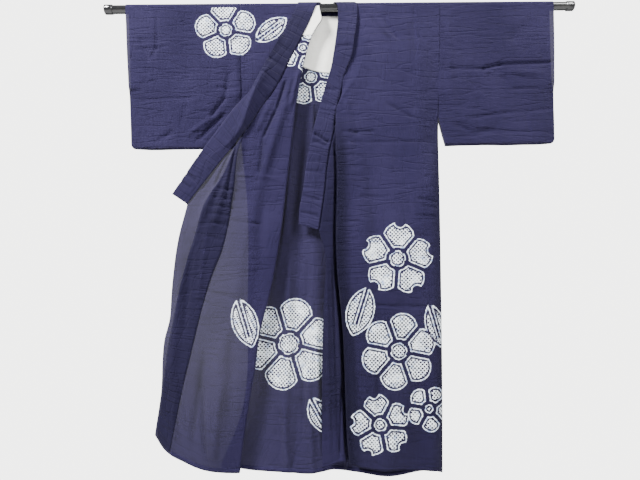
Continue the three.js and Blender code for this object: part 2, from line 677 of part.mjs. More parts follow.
// Lacquered rod with a wider ferrule and a flat face at each end
const ROD_SIDES = 28;
const FERRULE_BEVEL = 1.5;
const rodProfile = [
  new THREE.Vector2(0, -ROD_HALF),
  new THREE.Vector2(FERRULE_RADIUS - FERRULE_BEVEL, -ROD_HALF),
  new THREE.Vector2(FERRULE_RADIUS, -ROD_HALF + FERRULE_BEVEL),
  new THREE.Vector2(FERRULE_RADIUS, -ROD_HALF + FERRULE_LENGTH),
  new THREE.Vector2(ROD_RADIUS, -ROD_HALF + FERRULE_LENGTH + FERRULE_BEVEL),
  new THREE.Vector2(ROD_RADIUS, ROD_HALF - FERRULE_LENGTH - FERRULE_BEVEL),
  new THREE.Vector2(FERRULE_RADIUS, ROD_HALF - FERRULE_LENGTH),
  new THREE.Vector2(FERRULE_RADIUS, ROD_HALF - FERRULE_BEVEL),
  new THREE.Vector2(FERRULE_RADIUS - FERRULE_BEVEL, ROD_HALF),
  new THREE.Vector2(0, ROD_HALF),
];
const rod = new THREE.LatheGeometry(rodProfile, ROD_SIDES);
rod.deleteAttribute("normal");
rod.deleteAttribute("uv");
rod.rotateZ(-Math.PI / 2);
add("rod", facingOut(rod), BLACK_LACQUER);

export default group;
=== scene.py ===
"""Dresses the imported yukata: finely woven indigo cotton with shibori motifs on a lacquered rod.

Every length in the tables is in millimetres, in the frame of the part: the origin is the
middle of the rod, +X is the viewer's right, +Y goes away from the viewer and +Z is up.
Meshes are made in metres. Right and left in names are the wearer's.
"""

import logging
import math
from collections.abc import Sequence
from dataclasses import dataclass, field
from enum import Enum

import bpy
import numpy as np
from mathutils import Matrix, Vector

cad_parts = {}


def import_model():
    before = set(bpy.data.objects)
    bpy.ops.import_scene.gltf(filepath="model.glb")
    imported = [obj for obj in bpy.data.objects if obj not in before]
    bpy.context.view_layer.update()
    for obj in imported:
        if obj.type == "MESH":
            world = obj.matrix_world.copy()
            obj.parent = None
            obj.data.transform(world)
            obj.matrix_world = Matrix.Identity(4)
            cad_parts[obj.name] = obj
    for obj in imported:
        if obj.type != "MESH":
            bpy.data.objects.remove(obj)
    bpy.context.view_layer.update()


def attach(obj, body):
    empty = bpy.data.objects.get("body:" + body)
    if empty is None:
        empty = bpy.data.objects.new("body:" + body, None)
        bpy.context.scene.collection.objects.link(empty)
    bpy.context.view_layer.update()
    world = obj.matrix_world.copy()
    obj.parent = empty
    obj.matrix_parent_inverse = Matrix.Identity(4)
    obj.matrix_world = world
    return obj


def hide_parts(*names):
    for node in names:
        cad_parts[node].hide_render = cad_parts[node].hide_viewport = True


LOG = logging.getLogger("yukata")
Array = np.ndarray
Span = tuple[float, float]
Triple = tuple[float, float, float]
Colour = tuple[float, float, float, float]
Line = tuple[Span, ...]
Socket = bpy.types.NodeSocket
Outputs = bpy.types.bpy_prop_collection

MM = 0.001

# Thickness of the cloth, and gap at a seam
CLOTH = 0.6
SEAM = 0.04

# Depths below the middle of the rod
LENGTH = 1350.0
ARMHOLE_END = 366.0
SLEEVE_DROP = 434.0
CUFF_OPENING = 250.0

# Radii of the cloth and of the band over the rod, and length of cloth over it
CLOTH_TURN = 13.85
BAND_TURN = 16.25
OVER_ROD = 43.0

# How far the band's seam edge, crease and free edge go round the rod, in degrees
BAND_TURNS = (185.0, 158.5, 132.0)

# Depths of the hanging parts from front to back, and half a sleeve's depth at its bottom
RIGHT_OUTER_Y = -12.4
TURNED_Y = -21.0
LEFT_FRONT_Y = -18.0
SLEEVE_FOOT = 6.0

# The pleat: radius of its edge, width at its top and at the hem, how far its edge stands out
PLEAT_ROLL = 2.0
PLEAT_WIDTH = (6.0, 20.0)
PLEAT_EDGE_PROUD = 6.0
NECK_EDGE_PROUD = 2.5

# Where the back's rows at the neck opening end, and how far it lies forward at the turned edge
NECK_ROWS_END = -10.0
HOLLOW_DEPTH = 11.0

# How far the layers of a hem and of the wide allowance lie apart
HEM_LAP = 0.75
ALLOWANCE_LAP = 0.95

# Troughs no wider than this get painted shade, full at this depth
SHARP_REACH = 7
FULL_MARK = 8

# Distances that stand for no motif and for a place away from the side seam
NO_MOTIF = 200.0
AWAY = 100.0

# Tones of the cotton in several layers: darker than the single cloth, as painted shade where the layers let
# no light through
LAYERED_SHADED_TONES = ((0.0105, 0.0083, 0.0282, 1), (0.0176, 0.0142, 0.0425, 1))

# Lines of the garment as (height, x)
SIDE_RIGHT: Line = (
    (0, -309), (-280, -309), (-370, -311), (-620, -290), (-890, -291), (-1170, -303), (-1350, -368),
)  # fmt: skip
SIDE_LEFT: Line = (
    (0, 300), (-200, 291), (-365, 281), (-600, 275), (-780, 270), (-1100, 259), (-1350, 248),
)  # fmt: skip
TURNED_EDGE: Line = (
    (0, -68), (-26, -64), (-45, -62), (-70, -77), (-95, -91), (-145, -108), (-198, -121), (-298, -141),
    (-420, -157), (-600, -180), (-670, -189), (-844, -220), (-978, -255), (-1082, -270), (-1176, -287),
    (-1350, -313),
)  # fmt: skip
OVERLAP_SEAM_RIGHT: Line = (
    (-398, -297), (-450, -314), (-582, -330), (-741, -362), (-804, -387), (-882, -412), (-1050, -451),
    (-1180, -477), (-1350, -505),
)  # fmt: skip
ALLOWANCE_EDGE_RIGHT: Line = (
    (-400, -306), (-520, -355), (-605, -410), (-677, -432), (-748, -454), (-825, -473), (-936, -495),
    (-1027, -510), (-1161, -523), (-1233, -533), (-1350, -537),
)  # fmt: skip
FRONT_EDGE_RIGHT: Line = (
    (-607, -460), (-693, -482), (-759, -493), (-870, -503), (-935, -506), (-1015, -521), (-1200, -528),
    (-1350, -543),
)  # fmt: skip
PLEAT_SHIFT: Line = (
    (0, -9), (-150, -9), (-185, -5), (-270, -5), (-310, 0), (-805, 0), (-946, 7), (-1085, 8), (-1220, 7),
    (-1350, 3),
)  # fmt: skip
PLEAT_LEFT: Line = (
    (0, 38), (-52, 38), (-163, 28), (-225, 4), (-285, -12), (-330, -26), (-542, -29), (-765, -33),
    (-1035, -28), (-1319, -19), (-1350, -14),
)  # fmt: skip
FRONT_EDGE_LEFT: Line = ((-687, -84), (-760, -66), (-890, -73), (-1112, -83), (-1350, -88))
CENTRE: Line = ((0, -30), (-1350, -20))

# Hems as (x, height)
HEM_RIGHT_FRONT: Line = (
    (-543, -1246), (-518, -1284), (-461, -1320), (-411, -1341), (-321, -1352), (-200, -1340),
)  # fmt: skip
HEM_LEFT_FRONT: Line = (
    (-88, -1350), (-24, -1334), (17, -1346), (71, -1355), (154, -1357), (248, -1366),
)  # fmt: skip
HEM_BACK: Line = (
    (-368, -1340), (-291, -1356), (-187, -1366), (-121, -1371), (-52, -1362), (11, -1370), (99, -1385),
    (194, -1372), (248, -1373),
)  # fmt: skip

# The collar band: seam edge x, y, z, share and y of the crease, free edge x, y, z
BAND_RIGHT = np.array(
    [
        (-504, -21, -577, 0.5, -23, -461, -22, -607),
        (-466, -23, -520, 0.5, -25, -419, -22, -552),
        (-422, -26, -456, 0.5, -27, -375, -22, -495),
        (-376, -29, -394, 0.8, -29, -332, -22, -441),
        (-330, -33, -334, 0.85, -38, -299, -22, -398),
        (-303, -36, -305, 0.55, -44, -268, -22, -356),
        (-277, -38, -277, 0.25, -44, -244, -22, -318),
        (-258, -36, -243, 0.2, -42, -214, -22, -277),
        (-241, -33, -208, 0.2, -38, -190, -22, -238),
        (-224, -28, -173, 0.3, -31, -172, -22, -199),
        (-180, -21, -89, 0.5, -22, -130, -20, -115),
        (-147, -17, -26, 0.5, -18, -97, -17, -48),
    ]
)
BAND_BEHIND = np.array(
    [
        (-96, 15.9, -16.4, 0.5, 16.9, -50, 14.2, 11.2),
        (-70, 15.9, -16.4, 0.5, 16.9, -46, 14.2, 11.2),
        (-43, 15.9, -16.4, 0.5, 16.9, -43, 14.2, 11.2),
        (-16, 15.9, -16.4, 0.5, 16.9, -40, 14.2, 11.2),
        (8, 15.9, -16.4, 0.5, 16.9, -36, 14.2, 11.2),
    ]
)
BAND_LEFT = np.array(
    [
        (46, -18, -40, 0.5, -18.5, -13, -17.5, -40),
        (36, -21, -105, 0.5, -22, -20, -20, -100),
        (26, -21, -160, 0.5, -21, -28, -18, -150),
        (1, -16, -225, 0.5, -16, -38, -14, -200),
        (-4, -11, -275, 0.5, -12, -54, -11, -250),
        (-16, -9, -325, 0.5, -10, -71, -9, -305),
        (-32, -9, -385, 0.5, -11, -89, -9, -368),
        (-47, -10, -440, 0.5, -12, -104, -9, -428),
        (-58, -10, -502, 0.5, -12, -117, -9, -495),
        (-66, -10, -573, 0.5, -12, -127, -9, -565),
        (-76, -10, -635, 0.5, -12, -138, -9, -622),
        (-85, -10, -687, 0.5, -12, -141, -9, -670),
    ]
)


@dataclass(frozen=True)
class Crease:
    """One soft ridge or trough along a straight line of the hanging cloth.

    Attributes:
        top: x and height of one end.
        bottom: x and height of the other end.
        reach: Half width at which it has fallen to a third.
        rise: How far it stands out of the cloth, below zero for a trough.
        fade: Share of the length over which each end dies away.
    """

    top: Span
    bottom: Span
    reach: float
    rise: float
    fade: float = 0.25

    def height(self, x: Array, z: Array) -> Array:
        """Rise times a bell of the distance to the line, times a soft window along it.

        Args:
            x: Places across the cloth.
            z: Heights.

        Returns:
            How far the crease lifts the cloth at each point.
        """
        across, down = self.bottom[0] - self.top[0], self.bottom[1] - self.top[1]
        long = math.hypot(across, down)
        along = ((x - self.top[0]) * across + (z - self.top[1]) * down) / long**2
        aside = ((x - self.top[0]) * down - (z - self.top[1]) * across) / long
        window = smooth(along, -0.04, self.fade) * (1 - smooth(along, 1 - self.fade, 1.04))
        return self.rise * window * np.exp(-((aside / self.reach) ** 2))


# The folds that the solids have too
FOLDS_TURNED = (
    Crease((-150, -230), (-252, -560), 12, 7),
    Crease((-205, -330), (-300, -760), 22, 6),
    Crease((-300, -400), (-352, -660), 10, 7),
    Crease((-304, -400), (-395, -700), 11, 9),
    Crease((-308, -402), (-440, -690), 10, 7),
    Crease((-470, -700), (-505, -1180), 12, 6),
    Crease((-350, -940), (-400, -1352), 26, 8),
)
FOLDS_LEFT_FRONT = (
    Crease((40, -380), (60, -1360), 34, 5),
    Crease((230, -360), (180, -1100), 40, 5),
    Crease((120, -700), (128, -1370), 36, 6),
)
FOLDS_BACK = (
    Crease((-128, -300), (-150, -1100), 20, 7),
    Crease((-92, -290), (-105, -1370), 24, -4),
    Crease((-60, -700), (-52, -1380), 18, 6),
    Crease((90, -240), (104, -1400), 40, 7),
    Crease((190, -420), (196, -1390), 34, 5),
    Crease((-230, -420), (-262, -1370), 34, 6),
)

# Creases of the scene alone, pressed in by folding and hanging
CREASES_TURNED = (
    Crease((-172, -236), (-203, -334), 4.2, -6.0, 0.15),
    Crease((-203, -330), (-242, -416), 4.2, -6.0, 0.12),
    Crease((-242, -408), (-254, -530), 4.2, -5.0, 0.2),
    Crease((-146, -226), (-170, -310), 6, -3.5),
    Crease((-132, -200), (-160, -330), 8, 4.5),
    Crease((-216, -300), (-262, -400), 9, 4.5),
    Crease((-276, -400), (-262, -520), 12, 3.8),
    Crease((-344, -656), (-246, -669), 3.6, -3.9, 0.15),
    Crease((-330, -520), (-190, -538), 4, 2.4, 0.2),
    Crease((-428, -848), (-288, -890), 3.6, -2.7, 0.15),
    Crease((-381, -559), (-309, -574), 3.6, -3.6, 0.15),
    Crease((-392, -586), (-318, -598), 3.6, -3.0, 0.15),
    Crease((-390, -611), (-321, -624), 3.6, -3.9, 0.15),
    Crease((-400, -634), (-330, -645), 3.6, -2.7, 0.15),
    Crease((-395, -660), (-332, -676), 3.6, -3.6, 0.15),
    Crease((-412, -700), (-350, -712), 3.8, -2.1, 0.2),
    Crease((-440, -880), (-392, -892), 4, -3.0, 0.2),
    Crease((-312, -402), (-352, -600), 4.5, -7.0, 0.1),
    Crease((-312, -402), (-385, -560), 4.5, -7.0, 0.1),
    Crease((-316, -410), (-424, -567), 4.5, -6.8, 0.1),
    Crease((-398, -640), (-430, -900), 5, 4.5),
    Crease((-442, -690), (-470, -1010), 5, -4.5),
    Crease((-408, -1007), (-447, -1301), 6, -6.0),
    Crease((-420, -1080), (-404, -1330), 7, -4.5),
    Crease((-360, -1090), (-386, -1348), 9, 5.0),
    Crease((-330, -960), (-342, -1240), 14, -5.2),
    Crease((-300, -700), (-330, -1000), 16, 4.5),
    Crease((-240, -560), (-262, -880), 14, -4.5),
    Crease((-470, -1120), (-492, -1290), 6, -4.5),
)
CREASES_LEFT_FRONT = (
    Crease((-14, -396), (40, -402), 3.8, -3.6, 0.1),
    Crease((20, -398), (92, -397), 3.8, -3.9, 0.2),
    Crease((-20, -429), (274, -430), 3.6, -2.2, 0.05),
    Crease((236, -418), (276, -424), 3.6, -3.0, 0.15),
    Crease((118, -306), (212, -362), 4.5, -3.3, 0.2),
    Crease((200, -600), (272, -612), 3.6, -3.6, 0.15),
    Crease((212, -622), (268, -630), 3.6, -2.7, 0.2),
    Crease((30, -590), (120, -596), 3.8, -2.0, 0.2),
    Crease((196, -650), (268, -656), 3.6, -3.3, 0.15),
    Crease((-20, -668), (40, -662), 3.6, -2.7, 0.2),
    Crease((130, -705), (252, -712), 3.8, -2.1, 0.2),
    Crease((-10, -470), (60, -474), 3.8, -1.8, 0.2),
    Crease((-10, -505), (50, -503), 3.8, -1.7, 0.2),
    Crease((40, -905), (240, -915), 4.0, -3.0, 0.2),
    Crease((79, -25), (149, -115), 4.5, -3.3, 0.2),
    Crease((96, -70), (150, -112), 4.5, -2.7, 0.3),
    Crease((200, -40), (206, -180), 6, -1.8),
    Crease((64, -430), (98, -900), 26, -6.8),
    Crease((145, -520), (150, -900), 26, 4.5),
    Crease((-26, -790), (-4, -1353), 5.5, -7.0, 0.12),
    Crease((-4, -900), (12, -1353), 8, 4.5),
    Crease((84, -1060), (62, -1353), 12, -6.0),
    Crease((96, -1090), (112, -1353), 14, 5.0),
    Crease((180, -980), (190, -1353), 22, -4.5),
    Crease((6, -240), (16, -620), 12, 3.8),
)
CREASES_OVERLAP_LEFT = (
    Crease((-27, -1130), (-38, -1345), 3.6, -6.0, 0.15),
    Crease((-45, -720), (-40, -1345), 5, -4.5),
    Crease((-62, -760), (-66, -1345), 6, 3.8),
)
CREASES_BACK = (
    Crease((-160, -300), (-178, -760), 13, -7.0),
    Crease((-93, -287), (-95, -420), 5, -6.0),
    Crease((-110, -714), (-149, -1361), 8, 5.0),
    Crease((-168, -713), (-191, -1360), 10, -6.0),
    Crease((-96, -960), (-86, -1362), 7, -6.8),
    Crease((-72, -1090), (-60, -1362), 8, 5.0),
    Crease((-124, -1080), (-112, -1362), 8, -6.0),
    Crease((-150, -1150), (-166, -1362), 9, 5.0),
    Crease((-64, -700), (-88, -690), 4, -3.8, 0.2),
    Crease((-200, -1120), (-180, -1362), 9, -6.0),
    Crease((40, -500), (236, -508), 4, -3.0, 0.1),
    Crease((60, -905), (240, -899), 4, -3.0, 0.1),
    Crease((-280, -620), (-60, -628), 4, -2.7, 0.1),
    Crease((-260, -330), (-100, -336), 4, -2.4, 0.1),
    Crease((120, -200), (240, -330), 10, -4.5),
)
CREASES_SLEEVE_RIGHT = (
    Crease((-562, 0), (-557, -121), 4.5, -3.9, 0.12),
    Crease((-557, -118), (-574, -165), 5, -3.0, 0.2),
    Crease((-612, -90), (-580, -175), 7, -3.0),
    Crease((-560, -120), (-520, -190), 8, -2.4),
    Crease((-344, -205), (-356, -290), 6, -6.0),
    Crease((-352, -280), (-400, -345), 6, -7.0, 0.15),
    Crease((-345, -322), (-456, -436), 6.5, -7.0, 0.2),
    Crease((-384, -340), (-470, -400), 7, 4.5),
    Crease((-384, -254), (-310, -257), 3.8, -3.6, 0.12),
    Crease((-631, -136), (-519, -124), 4.2, -2.1, 0.2),
    Crease((-640, -262), (-600, -258), 4.5, -3.6, 0.15),
    Crease((-619, -291), (-428, -281), 4.5, -2.0, 0.2),
    Crease((-590, -438), (-500, -380), 7, -4.5),
    Crease((-620, -420), (-520, -432), 6, 4.5),
    Crease((-470, -300), (-486, -372), 8, -2.4),
    Crease((-322, -120), (-320, -300), 12, 5.0, 0.15),
    Crease((-478, -20), (-470, -380), 30, -3.0),
)
CREASES_SLEEVE_LEFT = (
    Crease((316, -204), (430, -203), 4.0, -4.5, 0.1),
    Crease((420, -205), (482, -190), 4.4, -7.0, 0.12),
    Crease((470, -191), (640, -186), 4.4, -7.0, 0.08),
    Crease((470, -214), (620, -220), 8, 3.9),
    Crease((470, -232), (500, -240), 4.5, -3.0, 0.3),
    Crease((500, -268), (600, -266), 4.0, -3.0, 0.15),
    Crease((375, -358), (500, -340), 4.4, -3.6, 0.12),
    Crease((480, -343), (636, -330), 4.4, -2.4, 0.12),
    Crease((328, -372), (380, -400), 8, -4.5),
    Crease((380, -396), (640, -404), 5, -2.4, 0.1),
    Crease((545, -336), (556, -420), 5, -2.7),
    Crease((500, -118), (600, -52), 20, -3.3),
    Crease((310, -130), (345, -138), 4.5, -2.7, 0.2),
    Crease((300, -426), (470, -388), 9, -3.6),
    Crease((324, -30), (322, -330), 12, 2.2),
)
CREASES_BAND = (
    Crease((-186, -84), (-236, -190), 13, 7.0, 0.15),
    Crease((-228, -176), (-264, -262), 12, 5.0, 0.15),
    Crease((6, -218), (-12, -300), 4, -6.0, 0.1),
    Crease((-12, -290), (-30, -384), 4, -6.0, 0.1),
    Crease((-92, -397), (-48, -429), 4.5, -7.0, 0.08),
    Crease((-98, -420), (-52, -440), 5, -3.8, 0.15),
    Crease((-124, -480), (-66, -484), 4, -2.1, 0.12),
    Crease((-126, -510), (-68, -517), 4, -3.0, 0.12),
    Crease((-132, -584), (-74, -600), 4.2, -4.5, 0.12),
    Crease((-134, -560), (-76, -566), 4, -2.4, 0.12),
    Crease((-138, -634), (-82, -647), 4.2, -3.9, 0.12),
    Crease((-478, -508), (-434, -540), 4.2, -4.8, 0.12),
    Crease((-492, -534), (-448, -562), 4.2, -4.8, 0.12),
    Crease((-440, -458), (-404, -498), 4.5, -2.4, 0.15),
    Crease((-208, -120), (-160, -152), 4.5, -2.4, 0.15),
    Crease((-226, -170), (-176, -206), 4.5, -3.0, 0.15),
    Crease((-244, -214), (-196, -252), 4.5, -2.7, 0.15),
    Crease((34, -60), (-16, -70), 4.5, -2.1, 0.15),
    Crease((28, -130), (-24, -138), 4.5, -2.4, 0.15),
    Crease((-20, -268), (-60, -262), 4, -3.3, 0.15),
    Crease((-24, -318), (-76, -300), 4, -3.0, 0.15),
)


def smooth(value: Array, low: float, high: float) -> Array:
    """Cubic step.

    Args:
        value: Where it is read.
        low: Value at which it leaves 0.
        high: Value at which it reaches 1.

    Returns:
        The step at each value.
    """
    share = np.clip((value - low) / (high - low), 0.0, 1.0)
    return share * share * (3 - 2 * share)


class Depths(Enum):
    """Depths below the rod between which a form of the cloth comes in or goes out."""

    HEM_OUTLINE = (0.6 * LENGTH, LENGTH)
    SIDE_SEAM = (ARMHOLE_END - 36, ARMHOLE_END + 50)
    LEAVES_SLEEVE = (ARMHOLE_END, ARMHOLE_END + 190)
    SLEEVE_NARROWS = (10, SLEEVE_DROP)
    SLEEVE_CREASES = (6, 60)
    SLEEVE_FREE = (ARMHOLE_END - 40, ARMHOLE_END - 14)
    CUFF_SEAM = (CUFF_OPENING - 10, CUFF_OPENING + 30)
    BACK_FOLDS = (60, 260)
    BACK_CRUMPLE = (20, 120)
    HOLLOW_IN = (200, 330)
    HOLLOW_OUT = (640, 900)
    FIRST_ROWS = (2, 12)
    TURN_OPENS = (12, 44)
    TURN_WIDENS = (44, 170)
    TURNED_CREASES = (90, 170)
    RIGHT_SETTLES = (0, 170)
    LEFT_SETTLES = (20, 180)
    LEFT_CREASES = (14, 70)
    LEFT_CRUMPLE = (10, 90)
    LEFT_CLEARS_BAND = (230, 270)
    PLEAT_ROLLS = (14, 60)
    PLEAT_LIES_BEHIND = (200, 330)
    PLEAT_WIDENS = (300, LENGTH)
    NECK_EDGE_IN = (160, 190)
    NECK_EDGE_OUT = (250, 300)
    PLEAT_EDGE_IN = (320, 650)
    RIGHT_TUCK_OUT = (600, 612)
    LEFT_TUCK_OUT = (680, 692)
    VALLEY_IN = (376, 480)
    VALLEY_DEEPENS = (700, 860)
    OVERLAP_SHADE_OUT = (1150, 1330)
    PLEAT_SHADE_IN = (300, 480)
    LEFT_SHADE_IN = (560, 1240)
    BAND_CREASES = (40, 120)
    BAND_SHADE_IN = (4, 40)
    BAND_SHADE_OUT = (130, 330)
    LINING_CRUMPLE = (20, 60)

    def share(self, z: Array) -> Array:
        """0 above the first depth and 1 below the second."""
        return smooth(-z, *self.value)


def mix(a: Array | float, b: Array | float, share: Array | float) -> Array:
    """The straight blend of two values.

    Args:
        a: Value where the share is 0.
        b: Value where the share is 1.
        share: How far it goes from a to b.

    Returns:
        The blend.
    """
    return a + (b - a) * share


def read(line: Line, at: Array) -> Array:
    """Reads a table on a smooth curve through its rows.

    Between two rows it is the cubic whose end slopes are the mean slopes of the neighbours.

    Args:
        line: Rows of (key, value), in rising or falling order of key.
        at: Keys to read at, held to the table's ends.

    Returns:
        The values.
    """
    rows = np.array(sorted(line), float)
    keys, values = rows[:, 0], rows[:, 1]
    slopes = np.diff(values) / np.diff(keys)
    tangents = np.concatenate([slopes[:1], (slopes[:-1] + slopes[1:]) / 2, slopes[-1:]])
    at = np.clip(at, keys[0], keys[-1])
    i = np.clip(np.searchsorted(keys, at, side="right") - 1, 0, len(keys) - 2)
    span = keys[i + 1] - keys[i]
    t = (at - keys[i]) / span
    start, end, rise = tangents[i] * span, tangents[i + 1] * span, values[i + 1] - values[i]
    return values[i] + start * t + (3 * rise - 2 * start - end) * t**2 + (start + end - 2 * rise) * t**3


def read_straight(keys: Array, values: Array, at: Array) -> Array:
    """Reads a table on straight lines between its rows.

    Args:
        keys: Keys of the rows, in any order.
        values: Values of the rows.
        at: Keys to read at.

    Returns:
        The values.
    """
    order = np.argsort(keys)
    return np.interp(at, keys[order], values[order])


def crumple(u: Array, v: Array, cell: Span, seed: int) -> Array:
    """Soft random relief from -1 to 1: seeded heights on a lattice, blended with cubic steps.

    Args:
        u: Places across the cloth.
        v: Places along the cloth.
        cell: Lattice pitch across and along.
        seed: Which lattice.

    Returns:
        The relief at each point.
    """
    lattice = np.random.default_rng(seed).uniform(-1, 1, (257, 257))
    a, b = u / cell[0], v / cell[1]
    i, j = np.floor(a).astype(int), np.floor(b).astype(int)
    s, t = smooth(a - i, 0, 1), smooth(b - j, 0, 1)
    i, j, next_i, next_j = i % 257, j % 257, (i + 1) % 257, (j + 1) % 257
    low = mix(lattice[i, j], lattice[next_i, j], s)
    high = mix(lattice[i, next_j], lattice[next_i, next_j], s)
    return mix(low, high, t)


def beside_band_right(z: Array) -> Array:
    """The line of the right overlap panel's seam with the band."""
    return read_straight(BAND_RIGHT[:, 7], BAND_RIGHT[:, 5], z) + 1.5


def beside_band_left(z: Array) -> Array:
    """The line of the left overlap panel's seam with the band."""
    return read_straight(BAND_LEFT[:, 2], BAND_LEFT[:, 0], z) + 1.5


def overlap_seam_right(z: Array) -> Array:
    """The seam of the right overlap panel, and the band's edge above its tip."""
    return np.where(z > OVERLAP_SEAM_RIGHT[0][0], beside_band_right(z), read(OVERLAP_SEAM_RIGHT, z))


def front_edge_right(z: Array) -> Array:
    """The free front edge of the right front, and the band's edge above the band's end."""
    return np.where(z > FRONT_EDGE_RIGHT[0][0], beside_band_right(z), read(FRONT_EDGE_RIGHT, z))


def front_edge_left(z: Array) -> Array:
    """The free front edge of the left front, and the band's edge above the band's end."""
    return np.where(z > FRONT_EDGE_LEFT[0][0], beside_band_left(z), read(FRONT_EDGE_LEFT, z))


def hung(x: Array, y: Array, z: Array, hem: Line) -> Array:
    """Points of a panel, its heights drawn towards its hem's own outline in the lower part.

    Args:
        x: Places across.
        y: Depths.
        z: Heights of the rows as cut.
        hem: The hem's outline.

    Returns:
        Rows by columns by 3.
    """
    z = z + 0 * x
    height = z + (read(hem, x) + LENGTH) * Depths.HEM_OUTLINE.share(z)
    return np.stack([x, y, height], 2)


def lift(creases: Sequence[Crease], x: Array, z: Array) -> Array:
    """The sum of all creases of a list.

    Args:
        creases: The list.
        x: Places across the cloth.
        z: Heights.

    Returns:
        How far they lift the cloth at each point.
    """
    return sum((crease.height(x, z) for crease in creases), np.zeros(np.broadcast(x, z).shape))


def sleeve_depth(z: Array) -> Array:
    """Half the depth of a sleeve at its armhole: wide at the rod, narrow at its bottom."""
    return mix(CLOTH_TURN, SLEEVE_FOOT, Depths.SLEEVE_NARROWS.share(z))


def sewn_at_side(y: Array, from_side: Array, z: Array) -> Array:
    """Draws a body panel to its sleeve and, below the armhole, to the other panel at the side seam.

    Beside the armhole it takes its sleeve's depth, so that the seam lies smooth. Below it, the
    share drawn in falls with the square of the distance to the seam.

    Args:
        y: Depths of the free cloth.
        from_side: Distance from the side line.
        z: Heights.

    Returns:
        The depths of the sewn cloth.
    """
    beside = (1 - smooth(from_side, 0, 70)) * (1 - Depths.LEAVES_SLEEVE.share(z))
    y = mix(y, np.sign(y) * sleeve_depth(z), beside)
    near = np.maximum(0, 1 - from_side / 34) ** 2
    return mix(y, np.sign(y) * 0.9, Depths.SIDE_SEAM.share(z) * near)


def back_depth(x: Array, z: Array) -> Array:
    """Depth of the back with its soft folds alone."""
    return CLOTH_TURN + lift(FOLDS_BACK, x, z) * Depths.BACK_FOLDS.share(z)


def turned_relief(x: Array, z: Array) -> Array:
    """How far folds, creases and crumple lift the turned front."""
    return lift(FOLDS_TURNED, x, z) + lift(CREASES_TURNED, x, z) + 0.8 * crumple(x, z, (70, 44), 5)


def turned_roll(z: Array) -> tuple[Array, Array]:
    """How deep the turned front lies.

    Args:
        z: Heights.

    Returns:
        The depth of its outer part, and the radius of the roll at its turned edge.
    """
    outer_y = mix(-CLOTH_TURN, RIGHT_OUTER_Y, Depths.RIGHT_SETTLES.share(z))
    radius = mix(1.1, (outer_y - TURNED_Y) / 2, Depths.TURN_WIDENS.share(z))
    return outer_y, radius * Depths.TURN_OPENS.share(z)


def pleat_fold(z: Array) -> Array:
    """x of the edge at which the left front is folded back."""
    return read(PLEAT_LEFT, z) + read(PLEAT_SHIFT, z)


def pleat_end(z: Array) -> Array:
    """x at which the left front ends behind its pleat."""
    width = mix(PLEAT_WIDTH[0], PLEAT_WIDTH[1], Depths.PLEAT_WIDENS.share(z))
    return read(PLEAT_LEFT, z) + PLEAT_ROLL + width


def light_through(x: Array, z: Array) -> Array:
    """How much light comes through the cloth.

    Painted shade: the middle of the garment and its lower end let less light through than the
    free outer part of the turned front, standing in for the soft shade the garment casts behind it.

    Args:
        x: Places across the cloth.
        z: Heights.

    Returns:
        Its share at each point, from 0 to 1.
    """
    behind = smooth(x, -398, -178) * (1 - smooth(x, 165, 302))
    depth = 0.60 + 0.26 * smooth(z, -1027, -835)
    lower = 0.28 + 0.72 * smooth(z, -1356, -944)
    return np.sqrt((1 - behind * depth) * lower)


def pressed(creases: Sequence[Crease], x: Array, z: Array) -> Array:
    """Painted shade in the sharp troughs of a list: their depth over that of a full mark.

    Args:
        creases: The list.
        x: Places across the cloth.
        z: Heights.

    Returns:
        The painted shade, from 0 to 1.
    """
    sharp = [crease for crease in creases if crease.reach <= SHARP_REACH and crease.rise < 0]
    return np.clip(-lift(sharp, x, z) / FULL_MARK, 0, 1)


def grid_normals(points: Array, ring: bool) -> Array:
    """Unit normals of a grid: the cross product of its central differences across and down.

    Args:
        points: Rows by columns by 3.
        ring: The last row joins the first.

    Returns:
        Rows by columns by 3.
    """
    rows = len(points)
    above = np.roll(points, 1, 0) if ring else points[np.maximum(np.arange(rows) - 1, 0)]
    below = np.roll(points, -1, 0) if ring else points[np.minimum(np.arange(rows) + 1, rows - 1)]
    columns = np.arange(points.shape[1])
    across = points[:, np.minimum(columns + 1, columns[-1])] - points[:, np.maximum(columns - 1, 0)]
    normal = np.cross(across, below - above)
    return normal / np.maximum(np.linalg.norm(normal, axis=2, keepdims=True), 1e-9)


def linked(name: str, data: bpy.types.ID) -> bpy.types.Object:
    """Puts a new object into the scene.

    Args:
        name: Its name.
        data: Its mesh, light or camera.

    Returns:
        The object.
    """
    obj = bpy.data.objects.new(name, data)
    bpy.context.scene.collection.objects.link(obj)
    return obj


